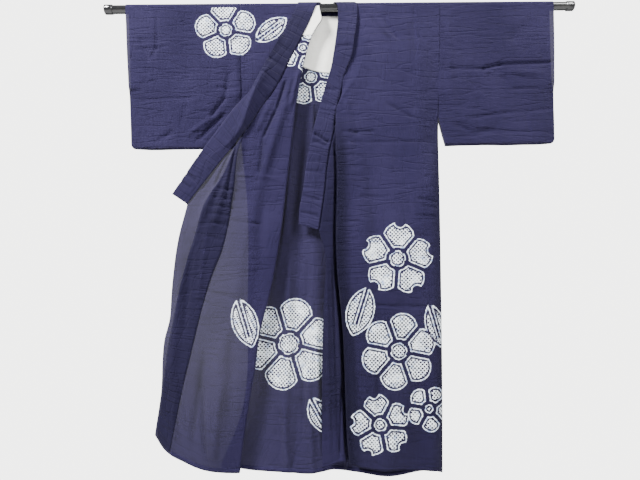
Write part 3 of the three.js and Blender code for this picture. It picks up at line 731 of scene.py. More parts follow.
@dataclass
class Surface:
    """A piece of cloth as a grid of points, with its flat cloth coordinates and its marks.

    Attributes:
        points: Rows by columns by 3, in millimetres.
        cloth: Rows by columns by 2, across and along the flat cloth, in millimetres.
        marks: Named values at each point that a finish reads.
        ring: The last row joins the first.
    """

    points: Array
    cloth: Array
    marks: dict[str, Array] = field(default_factory=dict)
    ring: bool = False

    def moved_out(self, distance: float) -> "Surface":
        """The same cloth moved along its normals."""
        normals = grid_normals(self.points, self.ring)
        return Surface(self.points + distance * normals, self.cloth, dict(self.marks), self.ring)

    def part(self, rows: slice, columns: slice) -> "Surface":
        """The cloth of some rows and columns alone."""
        marks = {name: mark[rows, columns] for name, mark in self.marks.items()}
        return Surface(self.points[rows, columns], self.cloth[rows, columns], marks)

    def mesh(self, name: str, thickness: float) -> bpy.types.Object:
        """Makes a closed shell: both faces of the cloth and flat strips round its edges.

        Where the shell's volume comes out below zero, its faces are turned round.

        Args:
            name: Name of the object.
            thickness: Thickness of the cloth, in millimetres.

        Returns:
            The new object, in metres, at the origin.
        """
        rows, columns = self.points.shape[:2]
        normals = grid_normals(self.points, self.ring)
        both = np.stack([self.points + normals * thickness / 2, self.points - normals * thickness / 2])
        near, far = np.arange(2 * rows * columns).reshape(2, rows, columns)
        low = np.arange(rows if self.ring else rows - 1)
        high = (low + 1) % rows
        left, right = slice(0, columns - 1), slice(1, columns)
        strips = [
            (near[low][:, left], near[high][:, left], near[high][:, right], near[low][:, right]),
            (far[low][:, left], far[low][:, right], far[high][:, right], far[high][:, left]),
            (near[low, 0], far[low, 0], far[high, 0], near[high, 0]),
            (near[low, -1], near[high, -1], far[high, -1], far[low, -1]),
        ]
        if not self.ring:
            strips.append((near[0, left], near[0, right], far[0, right], far[0, left]))
            strips.append((near[-1, left], far[-1, left], far[-1, right], near[-1, right]))
        quads = np.concatenate([np.stack(strip, -1).reshape(-1, 4) for strip in strips])
        corner = both.reshape(-1, 3)[quads]
        spread = np.cross(corner[:, 1], corner[:, 2]) + np.cross(corner[:, 2], corner[:, 3])
        if np.einsum("ij,ij", corner[:, 0], spread) < 0:
            quads = quads[:, ::-1]
        mesh = bpy.data.meshes.new(name)
        mesh.from_pydata((both.reshape(-1, 3) * MM).tolist(), [], quads.tolist())
        mesh.polygons.foreach_set("use_smooth", np.arange(len(quads)) < 2 * len(low) * (columns - 1))
        uv = mesh.uv_layers.new(name="cloth")
        flat = np.concatenate([self.cloth, self.cloth]).reshape(-1, 2) * MM
        uv.data.foreach_set("uv", flat[quads.reshape(-1)].astype(np.float32).ravel())
        for mark, values in self.marks.items():
            layer = mesh.attributes.new(mark, "FLOAT", "POINT")
            layer.data.foreach_set("value", np.concatenate([values, values]).ravel().astype(np.float32))
        mesh.validate()
        return linked(name, mesh)


def arc_lengths(points: Array) -> Array:
    """Distance along each row of a grid from its first column."""
    steps = np.linalg.norm(np.diff(points, axis=1), axis=2)
    return np.concatenate([np.zeros((len(points), 1)), np.cumsum(steps, axis=1)], axis=1)


# Motifs


class Petals(Enum):
    """How the petals of a flower end: the radius of the notch in each, as a share of the flower's."""

    ROUND = 0.0
    NOTCHED = 0.16


@dataclass(frozen=True)
class Flower:
    """A dyed flower of round petals with undyed gaps between them.

    Attributes:
        centre: x and height of its middle.
        radius: Reach of its petals.
        count: Number of petals.
        turn: Turn of the first petal in degrees.
        petals: How the petals end.
        overlap: How far petals reach into each other, as a share of their size.
        petal_gap: Half the gap between petals.
        ring_gap: Half the width of the undyed ring.
        heart: Radius of that ring, as a share of the flower's.
    """

    centre: Span
    radius: float
    count: int = 5
    turn: float = 90.0
    petals: Petals = Petals.ROUND
    overlap: float = 1.12
    petal_gap: float = 7.2
    ring_gap: float = 6.4
    heart: float = 0.27

    def distance(self, x: Array, z: Array) -> Array:
        """Distance to the outline, below zero inside: petal discs less gaps and a ring.

        Args:
            x: Places across the cloth.
            z: Heights.

        Returns:
            The distances in millimetres.
        """
        dx, dz = x - self.centre[0], z - self.centre[1]
        out = np.hypot(dx, dz)
        step = 2 * math.pi / self.count
        angle = np.arctan2(dz, dx) - math.radians(self.turn)
        folded = np.abs((angle + step / 2) % step - step / 2)
        px, pz = out * np.cos(folded), out * np.sin(folded)
        disc = self.radius * math.sin(step / 2) / (1 + math.sin(step / 2)) * self.overlap
        petal = np.hypot(px - (self.radius - disc), pz) - disc
        shape = np.minimum(petal, np.hypot(px, pz) - (self.radius - disc) * 0.98)
        gap = self.petal_gap - out * np.sin(np.maximum(step / 2 - folded, 0))
        if self.petals is Petals.NOTCHED:
            notch = self.radius * self.petals.value - np.hypot(px - self.radius * 1.02, pz)
            shape = np.maximum(shape, notch)
        shape = np.maximum(shape, np.where(out > self.radius * 0.2, gap, -1e3))
        return np.maximum(shape, self.ring_gap - np.abs(out - self.radius * self.heart))


@dataclass(frozen=True)
class Leaf:
    """A dyed leaf: the overlap of two discs, with a gap along its midrib.

    Attributes:
        base: x and height of its stem end.
        tip: x and height of its tip.
        width: Its greatest width.
        rib_gap: Half the gap along its midrib.
        rib_end: Where the gap ends, as a share of its length from its middle.
    """

    base: Span
    tip: Span
    width: float
    rib_gap: float = 5.4
    rib_end: float = 0.3

    def distance(self, x: Array, z: Array) -> Array:
        """Distance to the outline, below zero inside: the larger of two disc distances.

        Args:
            x: Places across the cloth.
            z: Heights.

        Returns:
            The distances in millimetres.
        """
        ax, az = self.tip[0] - self.base[0], self.tip[1] - self.base[1]
        long = math.hypot(ax, az)
        along = ((x - self.base[0]) * ax + (z - self.base[1]) * az) / long - long / 2
        aside = ((x - self.base[0]) * az - (z - self.base[1]) * ax) / long
        half = self.width / 2
        radius = (long**2 / 4 + half**2) / (2 * half)
        outline = np.hypot(along, np.abs(aside) + radius - half) - radius
        rib = self.rib_gap - np.abs(aside)
        return np.maximum(outline, np.where(along < long * self.rib_end, rib, -1e3))


Motif = Flower | Leaf

MOTIFS_LEFT_FRONT: tuple[Motif, ...] = (
    Flower((140, -776), 104, 5, 84, Petals.NOTCHED),
    Leaf((52, -856), (6, -990), 76),
    Flower((134, -1036), 106, 6, 78),
    Flower((214, -1196), 62, 5, 60),
    Flower((76, -1236), 84, 5, 100, Petals.NOTCHED),
    Leaf((226, -906), (262, -1030), 60),
)
MOTIFS_BACK: tuple[Motif, ...] = (
    Flower((-176, -1012), 130, 6, 76),
    Leaf((-116, -1164), (-62, -1262), 62),
    Flower((-98, -214), 92, 5, 96),
    Flower((-352, -76), 92, 5, 96),
    Flower((122, -396), 104, 5, 90, Petals.NOTCHED),
    Leaf((150, -700), (220, -840), 76),
    Flower((130, -1150), 100, 6, 80),
)
MOTIFS_TURNED: tuple[Motif, ...] = (
    Leaf((-316, -880), (-276, -1016), 70),
    Flower((-120, -138), 76, 5, 70),
)
MOTIFS_SHOULDER: tuple[Motif, ...] = (
    Flower((-352, -76), 92, 5, 96),
    Leaf((-262, -112), (-170, -40), 58),
)


def nearest(motifs: Sequence[Motif], x: Array, z: Array) -> Array:
    """The least distance to any motif of a list.

    Args:
        motifs: The list.
        x: Places across the cloth.
        z: Heights.

    Returns:
        The distances, NO_MOTIF at most.
    """
    least = np.full(np.broadcast(x, z).shape, NO_MOTIF)
    for motif in motifs:
        least = np.minimum(least, motif.distance(x, z))
    return least


# Finishes


class Nodes:
    """Builds one node tree in few words."""

    def __init__(self, name: str = "", tree: bpy.types.NodeTree | None = None) -> None:
        """Starts with an empty material, or with a tree that is given.

        Args:
            name: Name of a new material.
            tree: An empty node tree to fill instead.
        """
        self.tree = tree
        if tree is None:
            self.material = bpy.data.materials.new(name)
            self.material.use_nodes = True
            self.tree = self.material.node_tree
            self.tree.nodes.clear()

    def add(self, kind: str, inputs: dict[str | int, object] | None = None, **settings: object) -> Outputs:
        """Adds a node, sets its properties and sets or links its inputs.

        Args:
            kind: Name of the node type, without its first word.
            inputs: Values or sockets by input name or number.
            **settings: Properties of the node.

        Returns:
            The node's outputs.
        """
        node = self.tree.nodes.new("ShaderNode" + kind)
        for name, value in settings.items():
            setattr(node, name, value)
        for key, value in (inputs or {}).items():
            if isinstance(value, Socket):
                self.tree.links.new(value, node.inputs[key])
            else:
                node.inputs[key].default_value = value
        return node.outputs

    def math(self, operation: str, *values: Socket | float) -> Socket:
        """A sum, product or other operation on one or two values."""
        return self.add("Math", dict(enumerate(values)), operation=operation)[0]

    def step(self, value: Socket, low: float, high: float) -> Socket:
        """A smooth step from 0 at low to 1 at high, or falling where low is above high."""
        ends = {1: min(low, high), 2: max(low, high), 3: float(low > high), 4: float(low < high)}
        return self.add("MapRange", {0: value, **ends}, interpolation_type="SMOOTHSTEP")[0]

    def blend(self, share: Socket, a: Socket | Colour, b: Socket | Colour) -> Socket:
        """A colour mix from a to b."""
        return self.add("Mix", {0: share, 6: a, 7: b}, data_type="RGBA")[2]

    def noise(self, place: Socket, scale: Triple, detail: float = 2.0) -> Socket:
        """A noise value at a place that is stretched by a scale."""
        stretched = self.add("VectorMath", {0: place, 1: scale}, operation="MULTIPLY")[0]
        return self.add("TexNoise", {"Vector": stretched, "Scale": 1.0, "Detail": detail})[0]

    def even_noise(self, place: Socket, scale: float, detail: float = 2.0) -> Socket:
        """A noise value with one scale both ways on the cloth."""
        return self.noise(place, (scale, scale, 1.0), detail)

    def lines(self, place: Socket, scale: Triple, width: float) -> Socket:
        """Thin crossing lines, 1 where a noise passes its middle value."""
        from_middle = self.math("SUBTRACT", self.noise(place, scale), 0.5)
        return self.step(self.math("ABSOLUTE", from_middle), width, 0.0)

    def mark(self, name: str) -> Socket:
        """A mark of the surface."""
        return self.add("Attribute", attribute_name=name)["Fac"]

    def cloth_map(self) -> Socket:
        """The flat cloth's coordinates, in metres."""
        return self.add("UVMap", uv_map="cloth")[0]

    def bump(self, height: Socket, strength: float, distance: float, under: Socket | None = None) -> Socket:
        """A relief, on top of another where one is given.

        Args:
            height: Height of the relief.
            strength: Its strength.
            distance: Its reach, in metres.
            under: Normal of the relief below.

        Returns:
            The normal.
        """
        inputs = {"Strength": strength, "Distance": distance, "Height": height}
        return self.add("Bump", inputs if under is None else {**inputs, "Normal": under})[0]

    def finish(self, surface: Socket) -> bpy.types.Material:
        """Links the surface and gives back the material."""
        self.add("OutputMaterial", {"Surface": surface})
        return self.material


@dataclass(frozen=True)
class IndigoCotton:
    """Finely woven indigo cotton, thin enough to let some light through, dyed with shibori.

    Attributes:
        name: Name of the material.
        deep: Colour of the dye where it is deep.
        worn: Colour where it has washed out a little.
        painted_shade: Colour of the painted shade in sharp creases, beside folds and where the cloth lies in
            layers, by its mark.
        white: Colour of the undyed cotton in the motifs.
        ice: Colour of cotton that the dye has tinted.
        dot_pitch: Distance between bound dots, in metres.
        sheer: Share of light that passes straight through each face where the mark sheer is 1.
        glow: Share of light that is spread through the cloth.
    """

    name: str = "indigo_cotton"
    deep: Colour = (0.0128, 0.0100, 0.0345, 1)
    worn: Colour = (0.0210, 0.0168, 0.0500, 1)
    # Colour of the painted shade
    painted_shade: Colour = (0.0038, 0.0032, 0.0120, 1)
    white: Colour = (0.88, 0.93, 0.97, 1)
    ice: Colour = (0.30, 0.39, 0.62, 1)
    dot_pitch: float = 0.0076
    sheer: float = 0.115
    glow: float = 0.12

    def dyed(self, n: Nodes, uv: Socket, slub: Socket) -> Socket:
        """Colour of the dyed cotton: washed out in clouds and along threads, darkened by painted shade where
        its mark is set.

        Args:
            n: The material's nodes.
            uv: The cloth map.
            slub: How thick the threads are.

        Returns:
            The colour.
        """
        cloud = n.noise(uv, (7.0, 4.0, 1.0), 4.0)
        washed = n.math("ADD", n.math("MULTIPLY", slub, 0.7), n.math("MULTIPLY", cloud, 0.5))
        colour = n.blend(n.step(washed, 0.46, 0.76), self.deep, self.worn)
        # Painted shade where its mark is set
        return n.blend(n.mark("painted_shade"), colour, self.painted_shade)

    def undyed(self, n: Nodes, uv: Socket, scale: float, low: float, high: float) -> Socket:
        """Colour of the undyed cotton, tinted in patches.

        Args:
            n: The material's nodes.
            uv: The cloth map.
            scale: Scale of the patches.
            low: Value of the noise at which the tint starts.
            high: Value at which it is full.

        Returns:
            The colour.
        """
        return n.blend(n.step(n.even_noise(uv, scale), low, high), self.white, self.ice)

    def bound_dots(self, n: Nodes, uv: Socket, wobble: Socket) -> Socket:
        """1 between the bound dots and 0 in them: the distance to the middle of each diagonal cell.

        Args:
            n: The material's nodes.
            uv: The cloth map.
            wobble: Noise that shakes the rows.

        Returns:
            The ring round each dot.
        """
        parts = n.add("SeparateXYZ", {0: uv})
        shake = n.math("MULTIPLY", n.math("SUBTRACT", wobble, 0.5), 0.55)
        squares = []
        for sign in ("ADD", "SUBTRACT"):
            place = n.math("MULTIPLY", n.math(sign, parts[0], parts[1]), 1 / (self.dot_pitch * math.sqrt(2)))
            cell = n.math("SUBTRACT", n.math("FRACT", n.math("ADD", place, shake)), 0.5)
            squares.append(n.math("POWER", cell, 2.0))
        out = n.math("SQRT", n.math("ADD", *squares))
        smaller = n.math("MULTIPLY", n.step(n.even_noise(uv, 22.0, 1.0), 0.45, 0.72), 0.20)
        return n.step(n.math("ADD", out, smaller), 0.31, 0.43)

    def relief(self, n: Nodes, uv: Socket, slub: Socket, puckers: Socket) -> Socket:
        """Threads, then soft and pressed creases, then the puckers that binding leaves.

        Args:
            n: The material's nodes.
            uv: The cloth map.
            slub: How thick the threads are.
            puckers: Where binding has drawn the cloth up.

        Returns:
            The normal.
        """
        thread = n.math("ADD", n.math("MULTIPLY", slub, 0.6), n.even_noise(uv, 1500.0, 1.0))
        level, upright = n.lines(uv, (4.0, 30.0, 1.0), 0.035), n.lines(uv, (26.0, 5.0, 1.0), 0.03)
        soft = n.math("MULTIPLY", n.noise(uv, (14.0, 60.0, 1.0), 3.0), 0.9)
        sharp = n.math("MULTIPLY", n.math("ADD", level, n.math("MULTIPLY", upright, 0.6)), 0.42)
        normal = n.bump(thread, 0.22, 0.0004)
        normal = n.bump(n.math("SUBTRACT", soft, sharp), 0.85, 0.003, normal)
        return n.bump(puckers, 0.4, 0.0012, normal)

    def material(self) -> bpy.types.Material:
        """Builds the material.

        Returns:
            The material, which reads the cloth map, the marks motif and sheer, and the mark of painted shade.
        """
        n = Nodes(self.name)
        uv = n.cloth_map()
        slub_down, slub_across = n.noise(uv, (900.0, 26.0, 1.0), 3.0), n.noise(uv, (30.0, 1100.0, 1.0), 3.0)
        slub = n.math("MULTIPLY", n.math("ADD", slub_down, slub_across), 0.5)
        dyed = self.dyed(n, uv, slub)

        wobble = n.even_noise(uv, 160.0, 1.0)
        ring = self.bound_dots(n, uv, wobble)
        ragged = n.math("ADD", n.mark("motif"), n.math("MULTIPLY", n.math("SUBTRACT", wobble, 0.5), 4.0))
        inside = n.step(ragged, -5.4, -6.8)
        outline = n.step(n.math("ABSOLUTE", ragged), 2.3, 1.1)
        colour = n.blend(inside, dyed, n.blend(ring, dyed, self.undyed(n, uv, 60.0, 0.48, 0.80)))
        colour = n.blend(outline, colour, self.undyed(n, uv, 120.0, 0.42, 0.66))

        normal = self.relief(n, uv, slub, n.math("MULTIPLY", ring, inside))
        woven = {"Roughness": 0.92, "Specular IOR Level": 0.05, "Sheen Weight": 0.04, "Sheen Roughness": 0.6}
        shade = n.add("BsdfPrincipled", {"Base Color": colour, "Normal": normal, **woven})[0]
        glow = n.add("BsdfTranslucent", {"Color": colour, "Normal": normal})[0]
        cloth = n.add("MixShader", {0: self.glow, 1: shade, 2: glow})[0]
        # The mark sheer carries painted shade: less light passes where the garment hangs before its own shade
        passing = n.math("MULTIPLY", n.mark("sheer"), self.sheer)
        clear = n.add("BsdfTransparent")[0]
        return n.finish(n.add("MixShader", {0: passing, 1: cloth, 2: clear})[0])


@dataclass(frozen=True)
class WhiteCotton:
    """Bleached cotton of the yoke lining, plain weave with soft creases.

    Attributes:
        name: Name of the material.
        lit: Colour of the threads.
        dull: Colour between the threads.
    """

    name: str = "white_cotton"
    lit: Colour = (0.97, 0.96, 0.91, 1)
    dull: Colour = (0.90, 0.89, 0.83, 1)

    def material(self) -> bpy.types.Material:
        """Builds the material.

        Returns:
            The material, which reads the cloth map.
        """
        n = Nodes(self.name)
        uv = n.cloth_map()
        slub = n.math("ADD", n.noise(uv, (800.0, 30.0, 1.0), 3.0), n.noise(uv, (30.0, 900.0, 1.0), 3.0))
        colour = n.blend(n.step(slub, 0.8, 1.2), self.dull, self.lit)
        normal = n.bump(n.noise(uv, (22.0, 40.0, 1.0), 3.0), 0.6, 0.003, n.bump(slub, 0.3, 0.0004))
        woven = {"Roughness": 0.9, "Specular IOR Level": 0.15}
        return n.finish(n.add("BsdfPrincipled", {"Base Color": colour, "Normal": normal, **woven})[0])


@dataclass(frozen=True)
class BlackLacquer:
    """Glossy black lacquer on wood with faint dust and fine rub marks along the rod.

    Attributes:
        name: Name of the material.
        colour: Colour of the lacquer.
        dust: Colour where dust has dulled it.
    """

    name: str = "black_lacquer"
    colour: Colour = (0.006, 0.006, 0.007, 1)
    dust: Colour = (0.022, 0.021, 0.020, 1)

    def material(self) -> bpy.types.Material:
        """Builds the material.

        Returns:
            The material, which reads Object coordinates.
        """
        n = Nodes(self.name)
        place = n.add("TexCoord")["Object"]
        rubs = n.noise(place, (14.0, 700.0, 700.0), 3.0)
        cloud = n.noise(place, (30.0, 30.0, 30.0), 3.0)
        colour = n.blend(n.step(cloud, 0.5, 0.8), self.colour, self.dust)
        rough = n.math("ADD", n.math("MULTIPLY", rubs, 0.16), n.math("MULTIPLY", cloud, 0.12))
        coat = {"Roughness": rough, "Coat Weight": 0.8, "Coat Roughness": 0.12}
        normal = n.bump(rubs, 0.05, 0.0003)
        return n.finish(n.add("BsdfPrincipled", {"Base Color": colour, "Normal": normal, **coat})[0])


# The garment


@dataclass
class Piece:
    """One finished piece of the object.

    Attributes:
        obj: The Blender object.
        note: What it is, for the log.
    """

    obj: bpy.types.Object
    note: str


def dress(obj: bpy.types.Object, material: bpy.types.Material, slot: str, *nodes: str) -> bpy.types.Object:
    """Gives a piece its finish, its body and the CAD nodes that it stands for.

    Args:
        obj: The piece.
        material: Its finish.
        slot: Not used.
        *nodes: CAD nodes that it replaces.

    Returns:
        The piece.
    """
    obj.data.materials.append(material)
    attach(obj, "root")
    if nodes:
        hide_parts(*nodes)
    return obj


@dataclass(frozen=True)
class Columns:
    """Columns of a front panel that is turned under at an edge.

    Attributes:
        flat: Columns from the side to the edge.
        roll: Columns round the edge.
        returned: Columns beyond it.
    """

    flat: int
    roll: int
    returned: int

    @property
    def total(self) -> int:
        """Number of columns in all."""
        return self.flat + self.roll + self.returned

    def choose(self, flat: Array, roll: Array | float, returned: Array | float) -> Array:
        """The first array in the flat columns, the second in the roll's, the third beyond.

        Args:
            flat: Values from the side to the edge.
            roll: Values round the edge.
            returned: Values beyond it.

        Returns:
            Rows by columns.
        """
        j = np.arange(self.total + 1)[None, :]
        return np.where(j <= self.flat, flat, np.where(j <= self.flat + self.roll, roll, returned))

    def past(self, count: float) -> Array:
        """Number of each column, counted from one of them."""
        return np.arange(self.total + 1)[None, :] - count


@dataclass
class BodyPanels:
    """The two body panels, each one length of cloth from front hem over the rod to back hem.

    Attributes:
        pitch: Distance between grid rows of the back.
        front_pitch: Distance between grid rows of the front.
        turn_steps: Rows over the rod.
        hem: Width of the turned-up hem.
        neck_right: Where the right panel ends beside the neck opening.
        neck_left: Where the left panel ends beside it.
        right_columns: Columns of the right panel.
        left_columns: Columns of the left panel.
    """

    pitch: float = 5.6
    front_pitch: float = 3.9
    turn_steps: int = 18
    hem: float = 12.0
    neck_right: float = -68
    neck_left: float = 16
    right_columns: Columns = Columns(28, 6, 40)
    left_columns: Columns = Columns(60, 8, 4)

    def front_rows(self) -> Array:
        """Heights of the front's rows, from hem to rod."""
        return np.linspace(-LENGTH, -4, round(LENGTH / self.front_pitch))

    def back_rows(self) -> Array:
        """Heights of the back's rows, from the rod down to the hem."""
        below = np.linspace(-24, -LENGTH, round(LENGTH / self.pitch))
        return np.concatenate([[-3.0, -8.0, -13.0, -18.0], below])

    def over_rod(self, side: Line, neck: float, columns: int) -> Array:
        """Points over the rod: a half circle of radius CLOTH_TURN, straight across.

        Args:
            side: Side line.
            neck: Where the panel ends beside the neck opening.
            columns: Number of columns.

        Returns:
            Rows by columns by 3.
        """
        turn = np.linspace(0, np.pi, self.turn_steps + 1)[:, None]
        x = np.linspace(read(side, np.zeros(1))[0], neck, columns + 1)[None, :] + 0 * turn
        return np.stack([x, -CLOTH_TURN * np.cos(turn) + 0 * x, CLOTH_TURN * np.sin(turn) + 0 * x], 2)

    def back(self, side: Line, neck: float, columns: int) -> Array:
        """Points of a panel's back: straight across from side to centre, with its folds.

        Behind the turned edge the cloth is drawn forward by HOLLOW_DEPTH, falling with the
        square of the distance.

        Args:
            side: Side line.
            neck: Where the panel ends beside the neck opening.
            columns: Number of columns.

        Returns:
            Rows by columns by 3.
        """
        z = self.back_rows()[:, None]
        side_x = read(side, z)
        seam_gap = math.copysign(SEAM / 2, side_x[0, 0])
        inner = np.where(z > NECK_ROWS_END, neck, read(CENTRE, z) + seam_gap)
        x = mix(side_x, inner, np.linspace(0, 1, columns + 1)[None, :])
        y = back_depth(x, z) + lift(CREASES_BACK, x, z)
        y = y + 0.9 * crumple(x, z, (90, 46), 3) * Depths.BACK_CRUMPLE.share(z)
        near = np.maximum(0, 1 - np.abs(x - read(TURNED_EDGE, z) - 6) / 34) ** 2
        y = y - HOLLOW_DEPTH * near * Depths.HOLLOW_IN.share(z) * (1 - Depths.HOLLOW_OUT.share(z))
        return hung(x, sewn_at_side(y, np.abs(x - side_x), z), z, HEM_BACK)

    def right_front(self) -> tuple[Array, Array]:
        """Points of the right front, which is turned back along TURNED_EDGE.

        Flat columns run from the side to the edge, a half circle goes round it, and the rest
        runs straight back to the seam of the overlap panel. Close to the rod the edge opens out.

        Returns:
            The points, and true where a column is of the turned-back part.
        """
        grid = self.right_columns
        z = self.front_rows()[:, None]
        side, turn = read(SIDE_RIGHT, z), read(TURNED_EDGE, z)
        seam = overlap_seam_right(z) + SEAM
        outer_y, roll = turned_roll(z)
        first_rows = Depths.FIRST_ROWS.share(z)
        beyond = np.clip(grid.past(grid.flat + grid.roll) / grid.returned, 0, 1)
        shares = mix(grid.past(0) / grid.total, np.minimum(grid.past(0) / grid.flat, 1), first_rows)
        first_x = mix(side, turn - roll, shares)
        angle = np.pi * np.clip(grid.past(grid.flat) / grid.roll, 0, 1)
        round_x, round_y = turn - roll + roll * np.sin(angle), outer_y - roll * (1 - np.cos(angle))
        back_x = turn - roll + (seam - turn + roll) * Depths.TURN_OPENS.share(z) * beyond
        fading_in = smooth(grid.past(grid.flat + grid.roll), 0, 4) * Depths.TURNED_CREASES.share(z)
        back_y = outer_y - 2 * roll - turned_relief(back_x, z) * fading_in
        x = grid.choose(first_x, round_x, back_x)
        y = grid.choose(outer_y, round_y, back_y)
        opening = mix(first_x, x, first_rows)
        x = np.where(z > -12, grid.choose(x, opening, opening), x)
        from_side = grid.choose(x - side, AWAY, AWAY)
        points = hung(x, sewn_at_side(y, from_side, z), z, HEM_RIGHT_FRONT)
        return points, np.broadcast_to((grid.past(grid.flat + grid.roll / 2) > 0) & (z < -24), x.shape)

    def left_front(self) -> tuple[Array, Array]:
        """Points of the left front, flat with one pleat behind its front edge.

        Close to the rod the columns are spread evenly up to the edge. Lower down the last ones
        go round the pleat and back behind it.

        Returns:
            The points, and true where a column is of the part behind the pleat.
        """
        grid = self.left_columns
        z = self.front_rows()[:, None]
        side, edge, end = read(SIDE_LEFT, z), pleat_fold(z), pleat_end(z)
        outer_y = mix(-CLOTH_TURN, LEFT_FRONT_Y, Depths.LEFT_SETTLES.share(z))
        flat_x = mix(side, edge, grid.past(0) / grid.total)
        first_x = mix(side, edge + PLEAT_ROLL, grid.past(0) / grid.flat)
        relief = lift(FOLDS_LEFT_FRONT, first_x, z) + lift(CREASES_LEFT_FRONT, first_x, z)
        relief = relief + 0.8 * crumple(first_x, z, (84, 48), 8) * Depths.LEFT_CRUMPLE.share(z)
        clear_of_band = smooth(first_x - beside_band_left(z), 0, 30)
        relief = relief * mix(clear_of_band, 1, Depths.LEFT_CLEARS_BAND.share(z))
        relief = relief * Depths.LEFT_CREASES.share(z) * (1 - smooth(grid.past(grid.flat), -4, 0))
        at_neck = Depths.NECK_EDGE_IN.share(z) * (1 - Depths.NECK_EDGE_OUT.share(z))
        proud = NECK_EDGE_PROUD * at_neck + PLEAT_EDGE_PROUD * Depths.PLEAT_EDGE_IN.share(z)
        beside_edge = np.maximum(0, 1 - (first_x - edge) / 60) ** 2
        angle = np.pi * np.clip(grid.past(grid.flat) / grid.roll, 0, 1)
        round_x = edge + PLEAT_ROLL * (1 - np.sin(angle))
        beyond = np.clip(grid.past(grid.flat + grid.roll) / grid.returned, 0, 1)
        x = grid.choose(first_x, round_x, mix(edge + PLEAT_ROLL, end, beyond))
        turned_y = PLEAT_ROLL * (1 - np.cos(angle))
        depth = grid.choose(turned_y, turned_y, 2 * PLEAT_ROLL) * Depths.PLEAT_ROLLS.share(z)
        y = outer_y + depth - relief - proud * beside_edge * (1 - angle / np.pi)
        x = mix(flat_x, x, Depths.PLEAT_LIES_BEHIND.share(z))
        from_side = grid.choose(side - x, AWAY, AWAY)
        points = hung(x, sewn_at_side(y, from_side, z), z, HEM_LEFT_FRONT)
        return points, np.broadcast_to(grid.past(grid.flat + grid.roll / 2) > 0, x.shape)

    def surface(self, front: Array, side: Line, neck: float) -> Surface:
        """Joins a front to its way over the rod and its back, with the flat cloth's coordinates.

        Args:
            front: Points of the front.
            side: Side line.
            neck: Where the panel ends beside the neck opening.

        Returns:
            The surface, without its marks.
        """
        columns = front.shape[1] - 1
        points = np.concatenate([front, self.over_rod(side, neck, columns), self.back(side, neck, columns)])
        across = arc_lengths(points)
        over = np.linspace(0, OVER_ROD, self.turn_steps + 1)
        lengths = np.concatenate([self.front_rows(), over, OVER_ROD - self.back_rows()])
        return Surface(points, np.stack([across, np.broadcast_to(lengths[:, None], across.shape)], 2))

    def mark(self, surface: Surface, motif: Array, painted_shade: Array) -> None:
        """Gives a panel its marks: those of the front are given, those of the back are the same for both.

        Args:
            surface: The panel.
            motif: Distances to the front's motifs.
            painted_shade: How much painted shade the front gets.
        """
        x, z = surface.points[..., 0], surface.points[..., 2]
        rod = np.zeros((self.turn_steps + 1, x.shape[1]))
        back = slice(len(motif) + len(rod), None)
        back_motif = nearest(MOTIFS_BACK, x[back], z[back])
        # Painted shade in the back's sharp creases
        back_painted_shade = 0.5 * pressed(CREASES_BACK, x[back], z[back])
        surface.marks["motif"] = np.concatenate([motif, rod + NO_MOTIF, back_motif])
        surface.marks["sheer"] = light_through(x, z)
        surface.marks["painted_shade"] = np.concatenate([painted_shade, rod, back_painted_shade])

    def right(self) -> Surface:
        """The right panel with its marks.

        Returns:
            The surface.
        """
        front, returned = self.right_front()
        x, z = front[..., 0], front[..., 2]
        surface = self.surface(front, SIDE_RIGHT, self.neck_right)
        motif = np.where(returned, nearest(MOTIFS_TURNED, x, z), nearest(MOTIFS_SHOULDER, x, z))
        # Painted shade in the turned front's sharp creases
        self.mark(surface, motif, 0.6 * pressed(CREASES_TURNED, x, z))
        return surface

    def left(self) -> Surface:
        """The left panel with its marks: painted shade darkens it beside its pleat and towards its hem.

        Returns:
            The surface.
        """
        front, behind = self.left_front()
        x, z = front[..., 0], front[..., 2]
        surface = self.surface(front, SIDE_LEFT, self.neck_left)
        # Painted shade beside the pleat, and painted shade growing towards the hem
        at_fold = (1 - smooth(x - pleat_fold(z), 14, 50)) * Depths.PLEAT_SHADE_IN.share(z)
        shade = np.maximum(0.8 * at_fold, 0.34 * Depths.LEFT_SHADE_IN.share(z))
        painted_shade = np.maximum(0.6 * pressed(CREASES_LEFT_FRONT, x, z), shade)
        self.mark(surface, np.where(behind, NO_MOTIF, nearest(MOTIFS_LEFT_FRONT, x, z)), painted_shade)
        return surface

    def hems(self, node: str, surface: Surface, cotton: bpy.types.Material) -> list[bpy.types.Object]:
        """Makes the turned-up hems of a panel, on the garment's inside.

        Args:
            node: CAD node of the panel.
            surface: The panel.
            cotton: The dyed cotton.

        Returns:
            The front hem and the back hem.
        """
        inward = -float(np.sign(grid_normals(surface.points, False)[-40, 10, 1]))
        ends = {
            "front": slice(0, round(self.hem / self.front_pitch) + 1),
            "back": slice(-round(self.hem / self.pitch) - 1, None),
        }
        hems = []
        for end, rows in ends.items():
            strip = surface.part(rows, slice(1, -1)).moved_out(inward * HEM_LAP)
            hems.append(dress(strip.mesh(f"{node}_{end}_hem", CLOTH), cotton, "indigo_cotton"))
        return hems

    def build(self, cotton: bpy.types.Material) -> list[Piece]:
        """Makes both panels and their hems.

        Args:
            cotton: The dyed cotton.

        Returns:
            The pieces.
        """
        pieces = []
        for node, surface in (("body_right", self.right()), ("body_left", self.left())):
            obj = dress(surface.mesh(f"{node}_cloth", CLOTH), cotton, "indigo_cotton", node)
            hems = self.hems(node, surface, cotton)
            pieces += [Piece(hem, "turned-up hem") for hem in hems]
            pieces.append(Piece(obj, "body panel"))
        return pieces


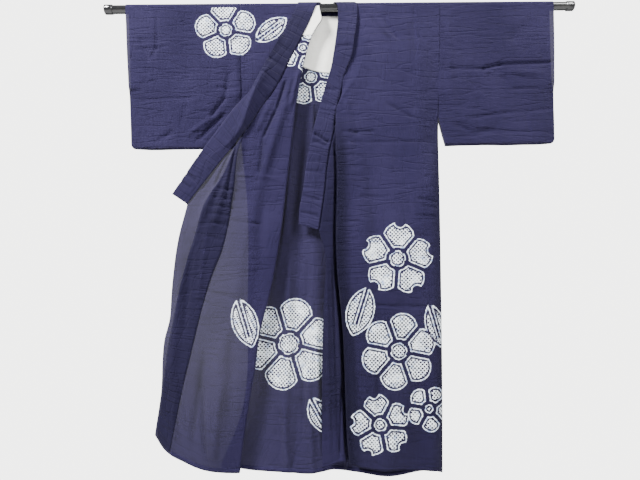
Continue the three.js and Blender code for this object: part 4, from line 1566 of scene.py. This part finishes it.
@dataclass
class OverlapPanels:
    """The two overlap panels at the front edges, and the right one's wide seam allowance.

    Attributes:
        top_right: Height of the right one's tip.
        top_left: Height of the left one's top.
        rows_right: Rows of the right one.
        rows_left: Rows of the left one.
    """

    top_right: float = -404.0
    top_left: float = -375.0
    rows_right: int = 240
    rows_left: int = 220

    def right(self) -> Surface:
        """The right panel: straight across from its seam to the front edge, with folds.

        Above the band's end its edge is tucked under the band.

        Returns:
            The surface.
        """
        z = np.linspace(self.top_right, -LENGTH, self.rows_right)[:, None]
        seam, edge = overlap_seam_right(z) - SEAM, front_edge_right(z)
        behind = 1 - Depths.RIGHT_TUCK_OUT.share(z)
        x = mix(seam, edge - 9 * behind, np.linspace(0, 1, 33)[None, :])
        tucked = 2.6 * behind * smooth(edge - x, -7, 1)
        y = TURNED_Y - turned_relief(x, z) * (1 - behind * smooth(edge - x, -9, -1)) + tucked
        # Painted shade in its sharp creases
        return self.flat(hung(x, y, z, HEM_RIGHT_FRONT), z, 0.6 * pressed(CREASES_TURNED, x, z))

    def left(self) -> Surface:
        """The left panel: a half turn behind the pleat's edge, then flat to the front edge.

        A valley keeps it clear of the pleat, and above the band's end its edge is tucked under
        the band.

        Returns:
            The surface.
        """
        z = np.linspace(self.top_left, -LENGTH, self.rows_left)[:, None]
        seam, edge = pleat_end(z) + SEAM, front_edge_left(z)
        angle = np.linspace(0, np.pi, 7)[None, :]
        roll_x = seam + PLEAT_ROLL * np.sin(angle)
        roll_y = LEFT_FRONT_Y + PLEAT_ROLL * (3 - np.cos(angle)) + 0 * z
        behind = 1 - Depths.LEFT_TUCK_OUT.share(z)
        flat_x = mix(seam, edge - 8 * behind, np.linspace(0, 1, 41)[None, 1:])
        tucked = 3.2 * behind * smooth(edge - flat_x, -7, 1)
        flat_y = LEFT_FRONT_Y + 4 * PLEAT_ROLL - 0.5 * crumple(flat_x, z, (60, 50), 9) + tucked
        flat_y = flat_y - lift(CREASES_OVERLAP_LEFT, flat_x, z)
        valley = smooth(seam - flat_x, 0, 5) * (1 - smooth(pleat_fold(z) - flat_x, 2, 11))
        flat_y = flat_y + valley * (7 * Depths.VALLEY_IN.share(z) + 9 * Depths.VALLEY_DEEPENS.share(z))
        x, y = np.concatenate([roll_x, flat_x], 1), np.concatenate([roll_y, flat_y], 1)
        # Painted shade on the panel behind the pleat, fading out near the hem
        painted_shade = 0.55 * (1 - Depths.OVERLAP_SHADE_OUT.share(z))
        return self.flat(hung(x, y, z, HEM_LEFT_FRONT), z, painted_shade)

    def flat(self, points: Array, z: Array, painted_shade: Array | float) -> Surface:
        """Gives a panel its cloth coordinates and its marks.

        Args:
            points: The panel's points.
            z: Height of each row as cut.
            painted_shade: How much painted shade the cloth gets, from 0 to 1.

        Returns:
            The surface.
        """
        across = arc_lengths(points)
        marks = {
            "motif": np.full(across.shape, NO_MOTIF),
            "sheer": light_through(points[..., 0], points[..., 2]),
            "painted_shade": painted_shade + np.zeros(across.shape),
        }
        return Surface(points, np.stack([across, z + 0 * across], 2), marks)

    def allowance(self) -> Surface:
        """The wide allowance of the right seam, laid on the panel.

        At each height it goes from just beside the seam to its own cut edge.

        Returns:
            The surface.
        """
        z = np.linspace(self.top_right, -LENGTH, self.rows_right)[2:-2, None]
        seam, edge = overlap_seam_right(z) + 2.0, front_edge_right(z) + 3.0
        outer = np.maximum(read(ALLOWANCE_EDGE_RIGHT, z), edge)
        x = mix(seam, np.minimum(outer, seam - 2.0), np.linspace(0.0, 1.0, 13)[None, :])
        y = TURNED_Y - turned_relief(x, z) - ALLOWANCE_LAP
        # Painted shade over the whole allowance, on top of the layered cotton's darker tones
        return self.flat(hung(x, y, z, HEM_RIGHT_FRONT), z, 0.48)

    def build(self, cotton: bpy.types.Material, layered_shaded: bpy.types.Material) -> list[Piece]:
        """Makes both panels and the right one's allowance.

        Args:
            cotton: The dyed cotton.
            layered_shaded: The same cotton in several layers, its darker tones painted shade.

        Returns:
            The pieces.
        """
        right = dress(self.right().mesh("okumi_right_cloth", CLOTH), cotton, "indigo_cotton", "okumi_right")
        strip = dress(self.allowance().mesh("okumi_right_allowance", CLOTH), layered_shaded, "indigo_cotton")
        left = dress(self.left().mesh("okumi_left_cloth", CLOTH), cotton, "indigo_cotton", "okumi_left")
        return [
            Piece(strip, "wide seam allowance"),
            Piece(right, "overlap panel"),
            Piece(left, "overlap panel"),
        ]


@dataclass
class Sleeve:
    """One short straight sleeve: a tube over the rod, open at the cuff and at the armhole.

    Attributes:
        node: CAD node that it replaces.
        armhole: Line of the armhole seam.
        cuff_top: x of the cuff at the rod.
        cuff_hem: x of the cuff at the bottom.
        loose: x of the inner bottom corner.
        creases: Creases of its front.
        motifs: Motifs of its front.
        seed: Which crumple it has.
        corner: Radius of the bottom corner at the cuff.
        lap: How far its edge goes under the body panel.
        lap_depth: How much deeper it lies there.
        columns: Columns from armhole to cuff.
        wall_steps: Rows from rod to bottom.
        bottom_steps: Rows round the bottom fold.
    """

    node: str
    armhole: Line
    cuff_top: float
    cuff_hem: float
    loose: float
    creases: tuple[Crease, ...]
    motifs: tuple[Motif, ...]
    seed: int
    corner: float = 14.0
    lap: float = 3.0
    lap_depth: float = 0.8
    columns: int = 84
    wall_steps: int = 104
    bottom_steps: int = 6

    def half(self, from_cuff: Array, z: Array) -> Array:
        """Half the distance between front and back.

        It is wide at the rod and nearly shut below the cuff's opening.

        Args:
            from_cuff: Distance to the cuff.
            z: Heights.

        Returns:
            The distances.
        """
        near_cuff = np.maximum(0, 1 - from_cuff / 70) ** 2
        return mix(sleeve_depth(z), 1.2, Depths.CUFF_SEAM.share(z) * near_cuff)

    def x_at(self, along: Array, z: Array) -> Array:
        """x between the armhole, loose below its end, and the cuff.

        Args:
            along: 0 at the armhole and 1 at the cuff.
            z: Heights.

        Returns:
            The places.
        """
        outward = math.copysign(1, self.cuff_top)
        free = read(self.armhole, z) - outward * self.lap * self.sewn_to_body(z)
        below = np.clip((-z - ARMHOLE_END + 14) / (SLEEVE_DROP - ARMHOLE_END + 14), 0, 1)
        outer = mix(self.cuff_top, self.cuff_hem, np.clip(-z / SLEEVE_DROP, 0, 1))
        return mix(mix(free, self.loose, below), outer, along)

    def sewn_to_body(self, z: Array) -> Array:
        """1 where the sleeve's edge is tucked under the body panel, 0 below the armhole."""
        return 1 - Depths.SLEEVE_FREE.share(z)

    def surface(self) -> Surface:
        """The tube as a ring of rows: up the front, over the rod, down the back, round the bottom.

        Columns are packed towards the cuff. The bottom is level, with a round corner at the cuff.

        Returns:
            The surface.
        """
        width = abs(self.cuff_top - float(read(self.armhole, np.zeros(1))[0]))
        along = (1 - (1 - np.linspace(0, 1, self.columns + 1)) ** 1.35)[None, :]
        from_cuff = (1 - along) * width
        lapping = 1 - smooth(along * width, self.lap, 2 * self.lap)
        into = np.maximum(0, self.corner - from_cuff)
        bottom = -SLEEVE_DROP + self.corner - np.sqrt(self.corner**2 - into**2)
        wave = crumple(along * width, 0 * along, (64, 50), self.seed + 7)
        bottom = bottom + 1.6 * wave * smooth(1 - along, 0, 0.15)
        down = np.linspace(0, 1, self.wall_steps + 1)[:, None]
        walls = []
        for sign, share in ((-1, down[:0:-1]), (1, down)):
            z = bottom * share
            x = self.x_at(along, z)
            relief = lift(self.creases, x, z) + 1.0 * crumple(x, z, (80, 52), self.seed + (sign > 0))
            relief = relief * Depths.SLEEVE_CREASES.share(z) * smooth(z - bottom, 4, 40)
            lap = self.lap_depth * lapping * self.sewn_to_body(z)
            walls.append(np.stack([x, sign * (self.half(from_cuff, z) + relief - lap), z], 2))
        front, back = walls
        turn = np.linspace(0, np.pi, 19)[1:-1, None]
        radius = CLOTH_TURN - self.lap_depth * lapping
        over_x = self.x_at(along, 0 * along) + 0 * turn
        over = np.stack([over_x, -radius * np.cos(turn), radius * np.sin(turn)], 2)
        under = np.linspace(0, np.pi, self.bottom_steps + 2)[1:-1, None]
        half = self.half(from_cuff, bottom)
        low_x = self.x_at(along, bottom) + 0 * under
        low = np.stack([low_x, half * np.cos(under), bottom - half * np.sin(under)], 2)
        points = np.concatenate([front, over, back, low])
        across = np.abs(points[..., 0] - points[:1, :1, 0])
        steps = np.linalg.norm(np.diff(points, axis=0), axis=2).mean(1)
        long = np.concatenate([[0], np.cumsum(steps)])
        cloth = np.stack([across, np.broadcast_to(long[:, None], across.shape)], 2)
        x, z = points[..., 0], points[..., 2]
        motif = nearest(self.motifs, x, z)
        motif[len(front) : len(front) + len(over)] = NO_MOTIF
        motif[-len(low) :] = NO_MOTIF
        return Surface(points, cloth, {"motif": motif, "sheer": light_through(x, z)}, ring=True)

    def build(self, cotton: bpy.types.Material) -> list[Piece]:
        """Makes the sleeve.

        Args:
            cotton: The dyed cotton.

        Returns:
            The pieces.
        """
        mesh = self.surface().mesh(f"{self.node}_cloth", CLOTH)
        obj = dress(mesh, cotton, "indigo_cotton", self.node)
        return [Piece(obj, "sleeve")]


@dataclass
class Collar:
    """The long collar band, from the right front round the neck to the left front.

    Attributes:
        thickness: Thickness of the folded band.
        width: Width of the folded band.
        across: Columns across the band.
        pitch: Distance between rows.
    """

    thickness: float = 1.7
    width: float = 57.0
    across: int = 18
    pitch: float = 4.0

    def laid(self, table: Array) -> Array:
        """Seam edge, crease and free edge of each row of a table of the band.

        Args:
            table: One of the band's tables.

        Returns:
            Rows by 3 by 3.
        """
        seam, free = table[:, :3], table[:, 5:]
        crease = mix(seam, free, table[:, 3:4])
        crease[:, 1] = table[:, 4]
        return np.stack([seam, crease, free], 1)

    def over_rod(self, seam_x: Span, free_x: Span) -> Array:
        """Seam edge, crease and free edge over the rod, each turned round it at BAND_TURN.

        Args:
            seam_x: x of the seam edge before and behind the rod.
            free_x: x of the free edge before and behind the rod.

        Returns:
            Rows by 3 by 3.
        """
        share = np.linspace(0, 1, 9)
        crease_x = ((seam_x[0] + free_x[0]) / 2, (seam_x[1] + free_x[1]) / 2)
        rails = []
        for ends, turn in zip((seam_x, crease_x, free_x), BAND_TURNS):
            angle = np.radians(turn * share)
            x = mix(ends[0], ends[1], share)
            rails.append(np.stack([x, -BAND_TURN * np.cos(angle), BAND_TURN * np.sin(angle)], 1))
        return np.stack(rails, 1)

    def rails(self) -> Array:
        """Seam edge, crease and free edge of every row, as in the solids.

        Returns:
            Rows by 3 by 3.
        """
        right, left = self.over_rod((-137, -117), (-78, -56)), self.over_rod((46, 28), (-14, -30))
        behind = self.laid(BAND_BEHIND)
        return np.concatenate([self.laid(BAND_RIGHT), right, behind, left[::-1], self.laid(BAND_LEFT)])

    def surface(self) -> Surface:
        """The band on cubic curves through the rails' rows.

        Across, it runs straight from seam edge to crease and from crease to free edge. Its
        creases die away near the rod, and its left part gets painted shade below the neck, where it folds.

        Returns:
            The surface.
        """
        rails = self.rails()
        steps = np.linalg.norm(np.diff(rails[:, 1], axis=0), axis=1)
        ends = np.concatenate([[0], np.cumsum(steps)])
        counts = np.maximum(2, np.round(np.diff(ends) / self.pitch).astype(int) + 1)
        along = np.unique(np.concatenate([np.linspace(*stretch) for stretch in zip(ends, ends[1:], counts)]))
        curves = np.empty((len(along), 3, 3))
        for rail, axis in np.ndindex(3, 3):
            curves[:, rail, axis] = read(tuple(zip(ends, rails[:, rail, axis])), along)
        share = np.linspace(0, 1, self.across + 1)
        weights = [np.maximum(0, 1 - 2 * share), 1 - np.abs(1 - 2 * share), np.maximum(0, 2 * share - 1)]
        points = np.einsum("nra,rc->nca", curves, np.stack(weights))
        u, v = np.broadcast_arrays(share * self.width, along[:, None])
        relief = 0.5 * crumple(u, v, (60, 22), 21)
        relief = relief + lift(CREASES_BAND, points[..., 0], points[..., 2])
        points[..., 1] -= relief * Depths.BAND_CREASES.share(points[..., 2])
        x, z = points[..., 0], points[..., 2]
        shaded = Depths.BAND_SHADE_IN.share(z) * (1 - Depths.BAND_SHADE_OUT.share(z))
        # Painted shade on the band below the neck, where it folds
        painted_shade = 0.5 * (1 - smooth(x, -70, -40)) * shaded
        return Surface(points, np.stack([u, v], 2), {"motif": np.full(x.shape, NO_MOTIF), "painted_shade": painted_shade})

    def build(self, cotton: bpy.types.Material) -> list[Piece]:
        """Makes the band.

        Args:
            cotton: The dyed cotton.

        Returns:
            The pieces.
        """
        obj = dress(self.surface().mesh("collar_cloth", self.thickness), cotton, "indigo_cotton", "collar")
        return [Piece(obj, "collar band")]


@dataclass
class YokeLining:
    """The white lining at the inside of the back neck, and its end on the turned front.

    Attributes:
        right: x of its right side.
        left: x of its left side.
        top: Height of its top.
        bottom: Height of the middle of its lower edge.
        edge_rise: How far that edge rises at edge_reach from its middle.
        edge_reach: Distance at which it does.
        front_depth: Height at which its end on the turned front stops.
        front_width: Width of that end.
    """

    right: float = -125
    left: float = 46
    top: float = -19.0
    bottom: float = -203
    edge_rise: float = 20
    edge_reach: float = 90
    front_depth: float = -97
    front_width: float = 40

    def back_lining(self) -> Surface:
        """The back's own form moved in, with a lower edge in the shape of a parabola.

        Returns:
            The surface.
        """
        x = np.linspace(self.right, self.left, 40)[None, :]
        lower = self.bottom + self.edge_rise * ((x - CENTRE[0][1]) / self.edge_reach) ** 2
        z = mix(self.top, lower, np.linspace(0, 1, 42)[:, None])
        y = back_depth(x, z) - 1.6
        y = y - 0.6 * crumple(x, z, (36, 40), 31) * Depths.LINING_CRUMPLE.share(z)
        points = np.stack([x + 0 * z, y, z], 2)
        return Surface(points, points[..., [0, 2]])

    def front_strip(self) -> Surface:
        """The lining's end on the turned front beside the neck, on that front's own depth.

        Returns:
            The surface.
        """
        z = np.linspace(-1, self.front_depth, 32)[:, None]
        outer_y, roll = turned_roll(z)
        edge = read(TURNED_EDGE, z) - 1.0
        x = mix(edge - self.front_width, edge, np.linspace(0, 1, 16)[None, :])
        points = np.stack([x, outer_y - 2 * roll - 0.6 + 0 * x, z + 0 * x], 2)
        return Surface(points, points[..., [0, 2]])

    def build(self, white: bpy.types.Material) -> list[Piece]:
        """Makes the lining.

        Args:
            white: The bleached cotton.

        Returns:
            The pieces.
        """
        obj = dress(self.back_lining().mesh("yoke_lining_cloth", 0.5), white, "white_cotton", "yoke_lining")
        strip = dress(self.front_strip().mesh("yoke_lining_front", 0.4), white, "white_cotton")
        return [Piece(obj, "white yoke lining"), Piece(strip, "the lining's end on the turned front")]


@dataclass
class Rod:
    """The lacquered rod with a ferrule at each end.

    Attributes:
        sides: Facets round the rod.
        profile: x and radius from one end to the middle.
    """

    sides: int = 72
    profile: tuple[tuple[float, float], ...] = (
        (-720, 0), (-720, 12.4), (-719.6, 13.3), (-718.8, 14.1), (-718, 14.5), (-697.5, 14.5), (-696.6, 14.2),
        (-696.1, 13.4), (-695.4, 12.8), (-694.5, 12.5), (-400, 12.5), (0, 12.5),
    )  # fmt: skip

    def build(self, lacquer: bpy.types.Material) -> list[Piece]:
        """Makes the rod: the profile and its mirror image turned round the x axis.

        Args:
            lacquer: The finish.

        Returns:
            The pieces.
        """
        half = np.array(self.profile, float)
        line = np.concatenate([half, half[-2::-1] * [-1, 1]])
        rings = line[1:-1]
        angle = np.linspace(0, 2 * np.pi, self.sides, endpoint=False)[None, :]
        radius = rings[:, 1:2]
        points = np.stack([rings[:, :1] + 0 * angle, radius * np.cos(angle), radius * np.sin(angle)], 2)
        ends = np.array([[line[0, 0], 0, 0], [line[-1, 0], 0, 0]])
        vertices = np.concatenate([points.reshape(-1, 3), ends]) * MM
        number = np.arange(len(rings) * self.sides).reshape(len(rings), self.sides)
        after = np.roll(number, -1, 1)
        quads = np.stack([number[:-1], after[:-1], after[1:], number[1:]], 2).reshape(-1, 4)
        first, last = number.size, number.size + 1
        caps = [(first, b, a) for a, b in zip(number[0].tolist(), after[0].tolist())]
        caps += [(last, a, b) for a, b in zip(number[-1].tolist(), after[-1].tolist())]
        mesh = bpy.data.meshes.new("lacquered_rod")
        mesh.from_pydata(vertices.tolist(), [], quads.tolist() + caps)
        mesh.polygons.foreach_set("use_smooth", np.ones(len(mesh.polygons), bool))
        mesh.set_sharp_from_angle(angle=math.radians(50))
        obj = dress(linked("lacquered_rod", mesh), lacquer, "black_lacquer", "rod")
        return [Piece(obj, "hanging rod")]


# The studio


@dataclass(frozen=True)
class Light:
    """A soft square light that looks at the middle of the garment.

    Attributes:
        name: Its name.
        place: Its place, in metres.
        size: Its side, in metres.
        power: Its power, in watts.
    """

    name: str
    place: Triple
    size: float
    power: float

    def build(self) -> None:
        """Makes the light."""
        data = bpy.data.lights.new(self.name, "AREA")
        data.size, data.energy = self.size, self.power
        light = linked(self.name, data)
        light.location = self.place
        light.rotation_mode = "QUATERNION"
        light.rotation_quaternion = (Vector((-0.1, 0, -0.65)) - Vector(self.place)).to_track_quat("-Z", "Y")


@dataclass(frozen=True)
class Studio:
    """Camera, soft lights, pale surroundings and floor.

    Attributes:
        camera_place: Place of the camera, in metres.
        pitch: Tilt of the camera upwards, in degrees.
        yaw: Turn of the camera to the right, in degrees.
        roll: Roll of the camera, in degrees.
        lens: Focal length in millimetres.
        sensor: Width of the sensor in millimetres.
        lights: The lights.
        seen: Colour and strength of the surroundings as the camera sees them.
        lighting: Colour and strength of the surroundings as a light.
        floor_height: Height of the floor, in metres.
        floor_half: Half the floor's width, in metres.
        floor_back: How far the floor goes behind the garment, in metres.
        floor_tones: Two greys of the floor.
    """

    camera_place: Triple = (-0.10957, -1.39376, -0.86221)
    pitch: float = 6.0
    yaw: float = 1.2
    roll: float = 1.15
    lens: float = 27.06
    sensor: float = 36.0
    lights: tuple[Light, ...] = (
        Light("key", (-2.1, -1.8, 1.9), 0.8, 480),
        Light("fill", (1.8, -2.0, 1.5), 1.6, 152),
        Light("back", (0.5, 2.6, 0.6), 1.8, 190),
    )
    seen: tuple[Colour, float] = ((1.0, 1.0, 0.985, 1), 4.5)
    lighting: tuple[Colour, float] = ((0.95, 0.96, 1.0, 1), 0.51)
    floor_height: float = -1.72
    floor_half: float = 3.6
    floor_back: float = 0.7
    floor_tones: tuple[Colour, Colour] = ((0.52, 0.52, 0.52, 1), (0.57, 0.57, 0.57, 1))

    def camera(self) -> None:
        """Places the camera at the photograph's viewing angle."""
        pitch, yaw, roll = (math.radians(v) for v in (self.pitch, self.yaw, self.roll))
        forward = Vector((math.sin(yaw) * math.cos(pitch), math.cos(yaw) * math.cos(pitch), math.sin(pitch)))
        right = Vector((math.cos(yaw), -math.sin(yaw), 0))
        up = right.cross(forward)
        turned_right = right * math.cos(roll) - up * math.sin(roll)
        turned_up = up * math.cos(roll) + right * math.sin(roll)
        data = bpy.data.cameras.new("camera")
        data.lens, data.sensor_width, data.clip_start, data.clip_end = self.lens, self.sensor, 0.05, 50.0
        camera = linked("camera", data)
        turned = Matrix((turned_right, turned_up, -forward)).transposed().to_4x4()
        camera.matrix_world = Matrix.Translation(self.camera_place) @ turned
        bpy.context.scene.camera = camera

    def surroundings(self) -> None:
        """Makes the world pale to the camera and dimmer as a light."""
        world = bpy.data.worlds.new("pale_room")
        world.use_nodes = True
        world.node_tree.nodes.clear()
        n = Nodes(tree=world.node_tree)
        seen = n.add("Background", dict(enumerate(self.seen)))[0]
        lighting = n.add("Background", dict(enumerate(self.lighting)))[0]
        camera_ray = n.add("LightPath")["Is Camera Ray"]
        n.add("OutputWorld", {0: n.add("MixShader", {0: camera_ray, 1: lighting, 2: seen})[0]})
        bpy.context.scene.world = world

    def floor(self) -> None:
        """Makes the floor, one square in two greys."""
        half, height = self.floor_half, self.floor_height
        corners = [(-half, -half), (half, -half), (half, self.floor_back), (-half, self.floor_back)]
        mesh = bpy.data.meshes.new("floor")
        mesh.from_pydata([(x, y, height) for x, y in corners], [], [(0, 1, 2, 3)])
        n = Nodes("pale_floor")
        tone = n.blend(n.noise(n.add("TexCoord")["Object"], (3.0, 3.0, 3.0), 3.0), *self.floor_tones)
        mesh.materials.append(n.finish(n.add("BsdfPrincipled", {"Base Color": tone, "Roughness": 0.8})[0]))
        linked("floor", mesh)

    def build(self) -> None:
        """Makes the camera, the lights, the surroundings and the floor."""
        self.camera()
        for light in self.lights:
            light.build()
        self.surroundings()
        self.floor()


def main() -> None:
    """Builds the studio and every piece of the garment."""
    logging.basicConfig(level=logging.INFO, format="%(message)s")
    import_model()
    Studio().build()
    cotton = IndigoCotton().material()
    # The same cotton in layers: it lets no light through, and its darker tones are painted shade
    layered_shaded = IndigoCotton("indigo_cotton_layered_shaded", *LAYERED_SHADED_TONES, sheer=0.0, glow=0.02).material()
    right, left = (CREASES_SLEEVE_RIGHT, MOTIFS_SHOULDER, 11), (CREASES_SLEEVE_LEFT, (), 15)
    pieces = BodyPanels().build(cotton)
    pieces += OverlapPanels().build(cotton, layered_shaded)
    pieces += Sleeve("sleeve_right", SIDE_RIGHT, -654, -631, -328, *right).build(cotton)
    pieces += Sleeve("sleeve_left", SIDE_LEFT, 652, 630, 299, *left, lap_depth=0.3).build(cotton)
    pieces += Collar().build(layered_shaded)
    pieces += YokeLining().build(WhiteCotton().material())
    pieces += Rod().build(BlackLacquer().material())
    for piece in pieces:
        LOG.info("%s: %s, %d faces", piece.obj.name, piece.note, len(piece.obj.data.polygons))


if __name__ == "__main__":
    main()
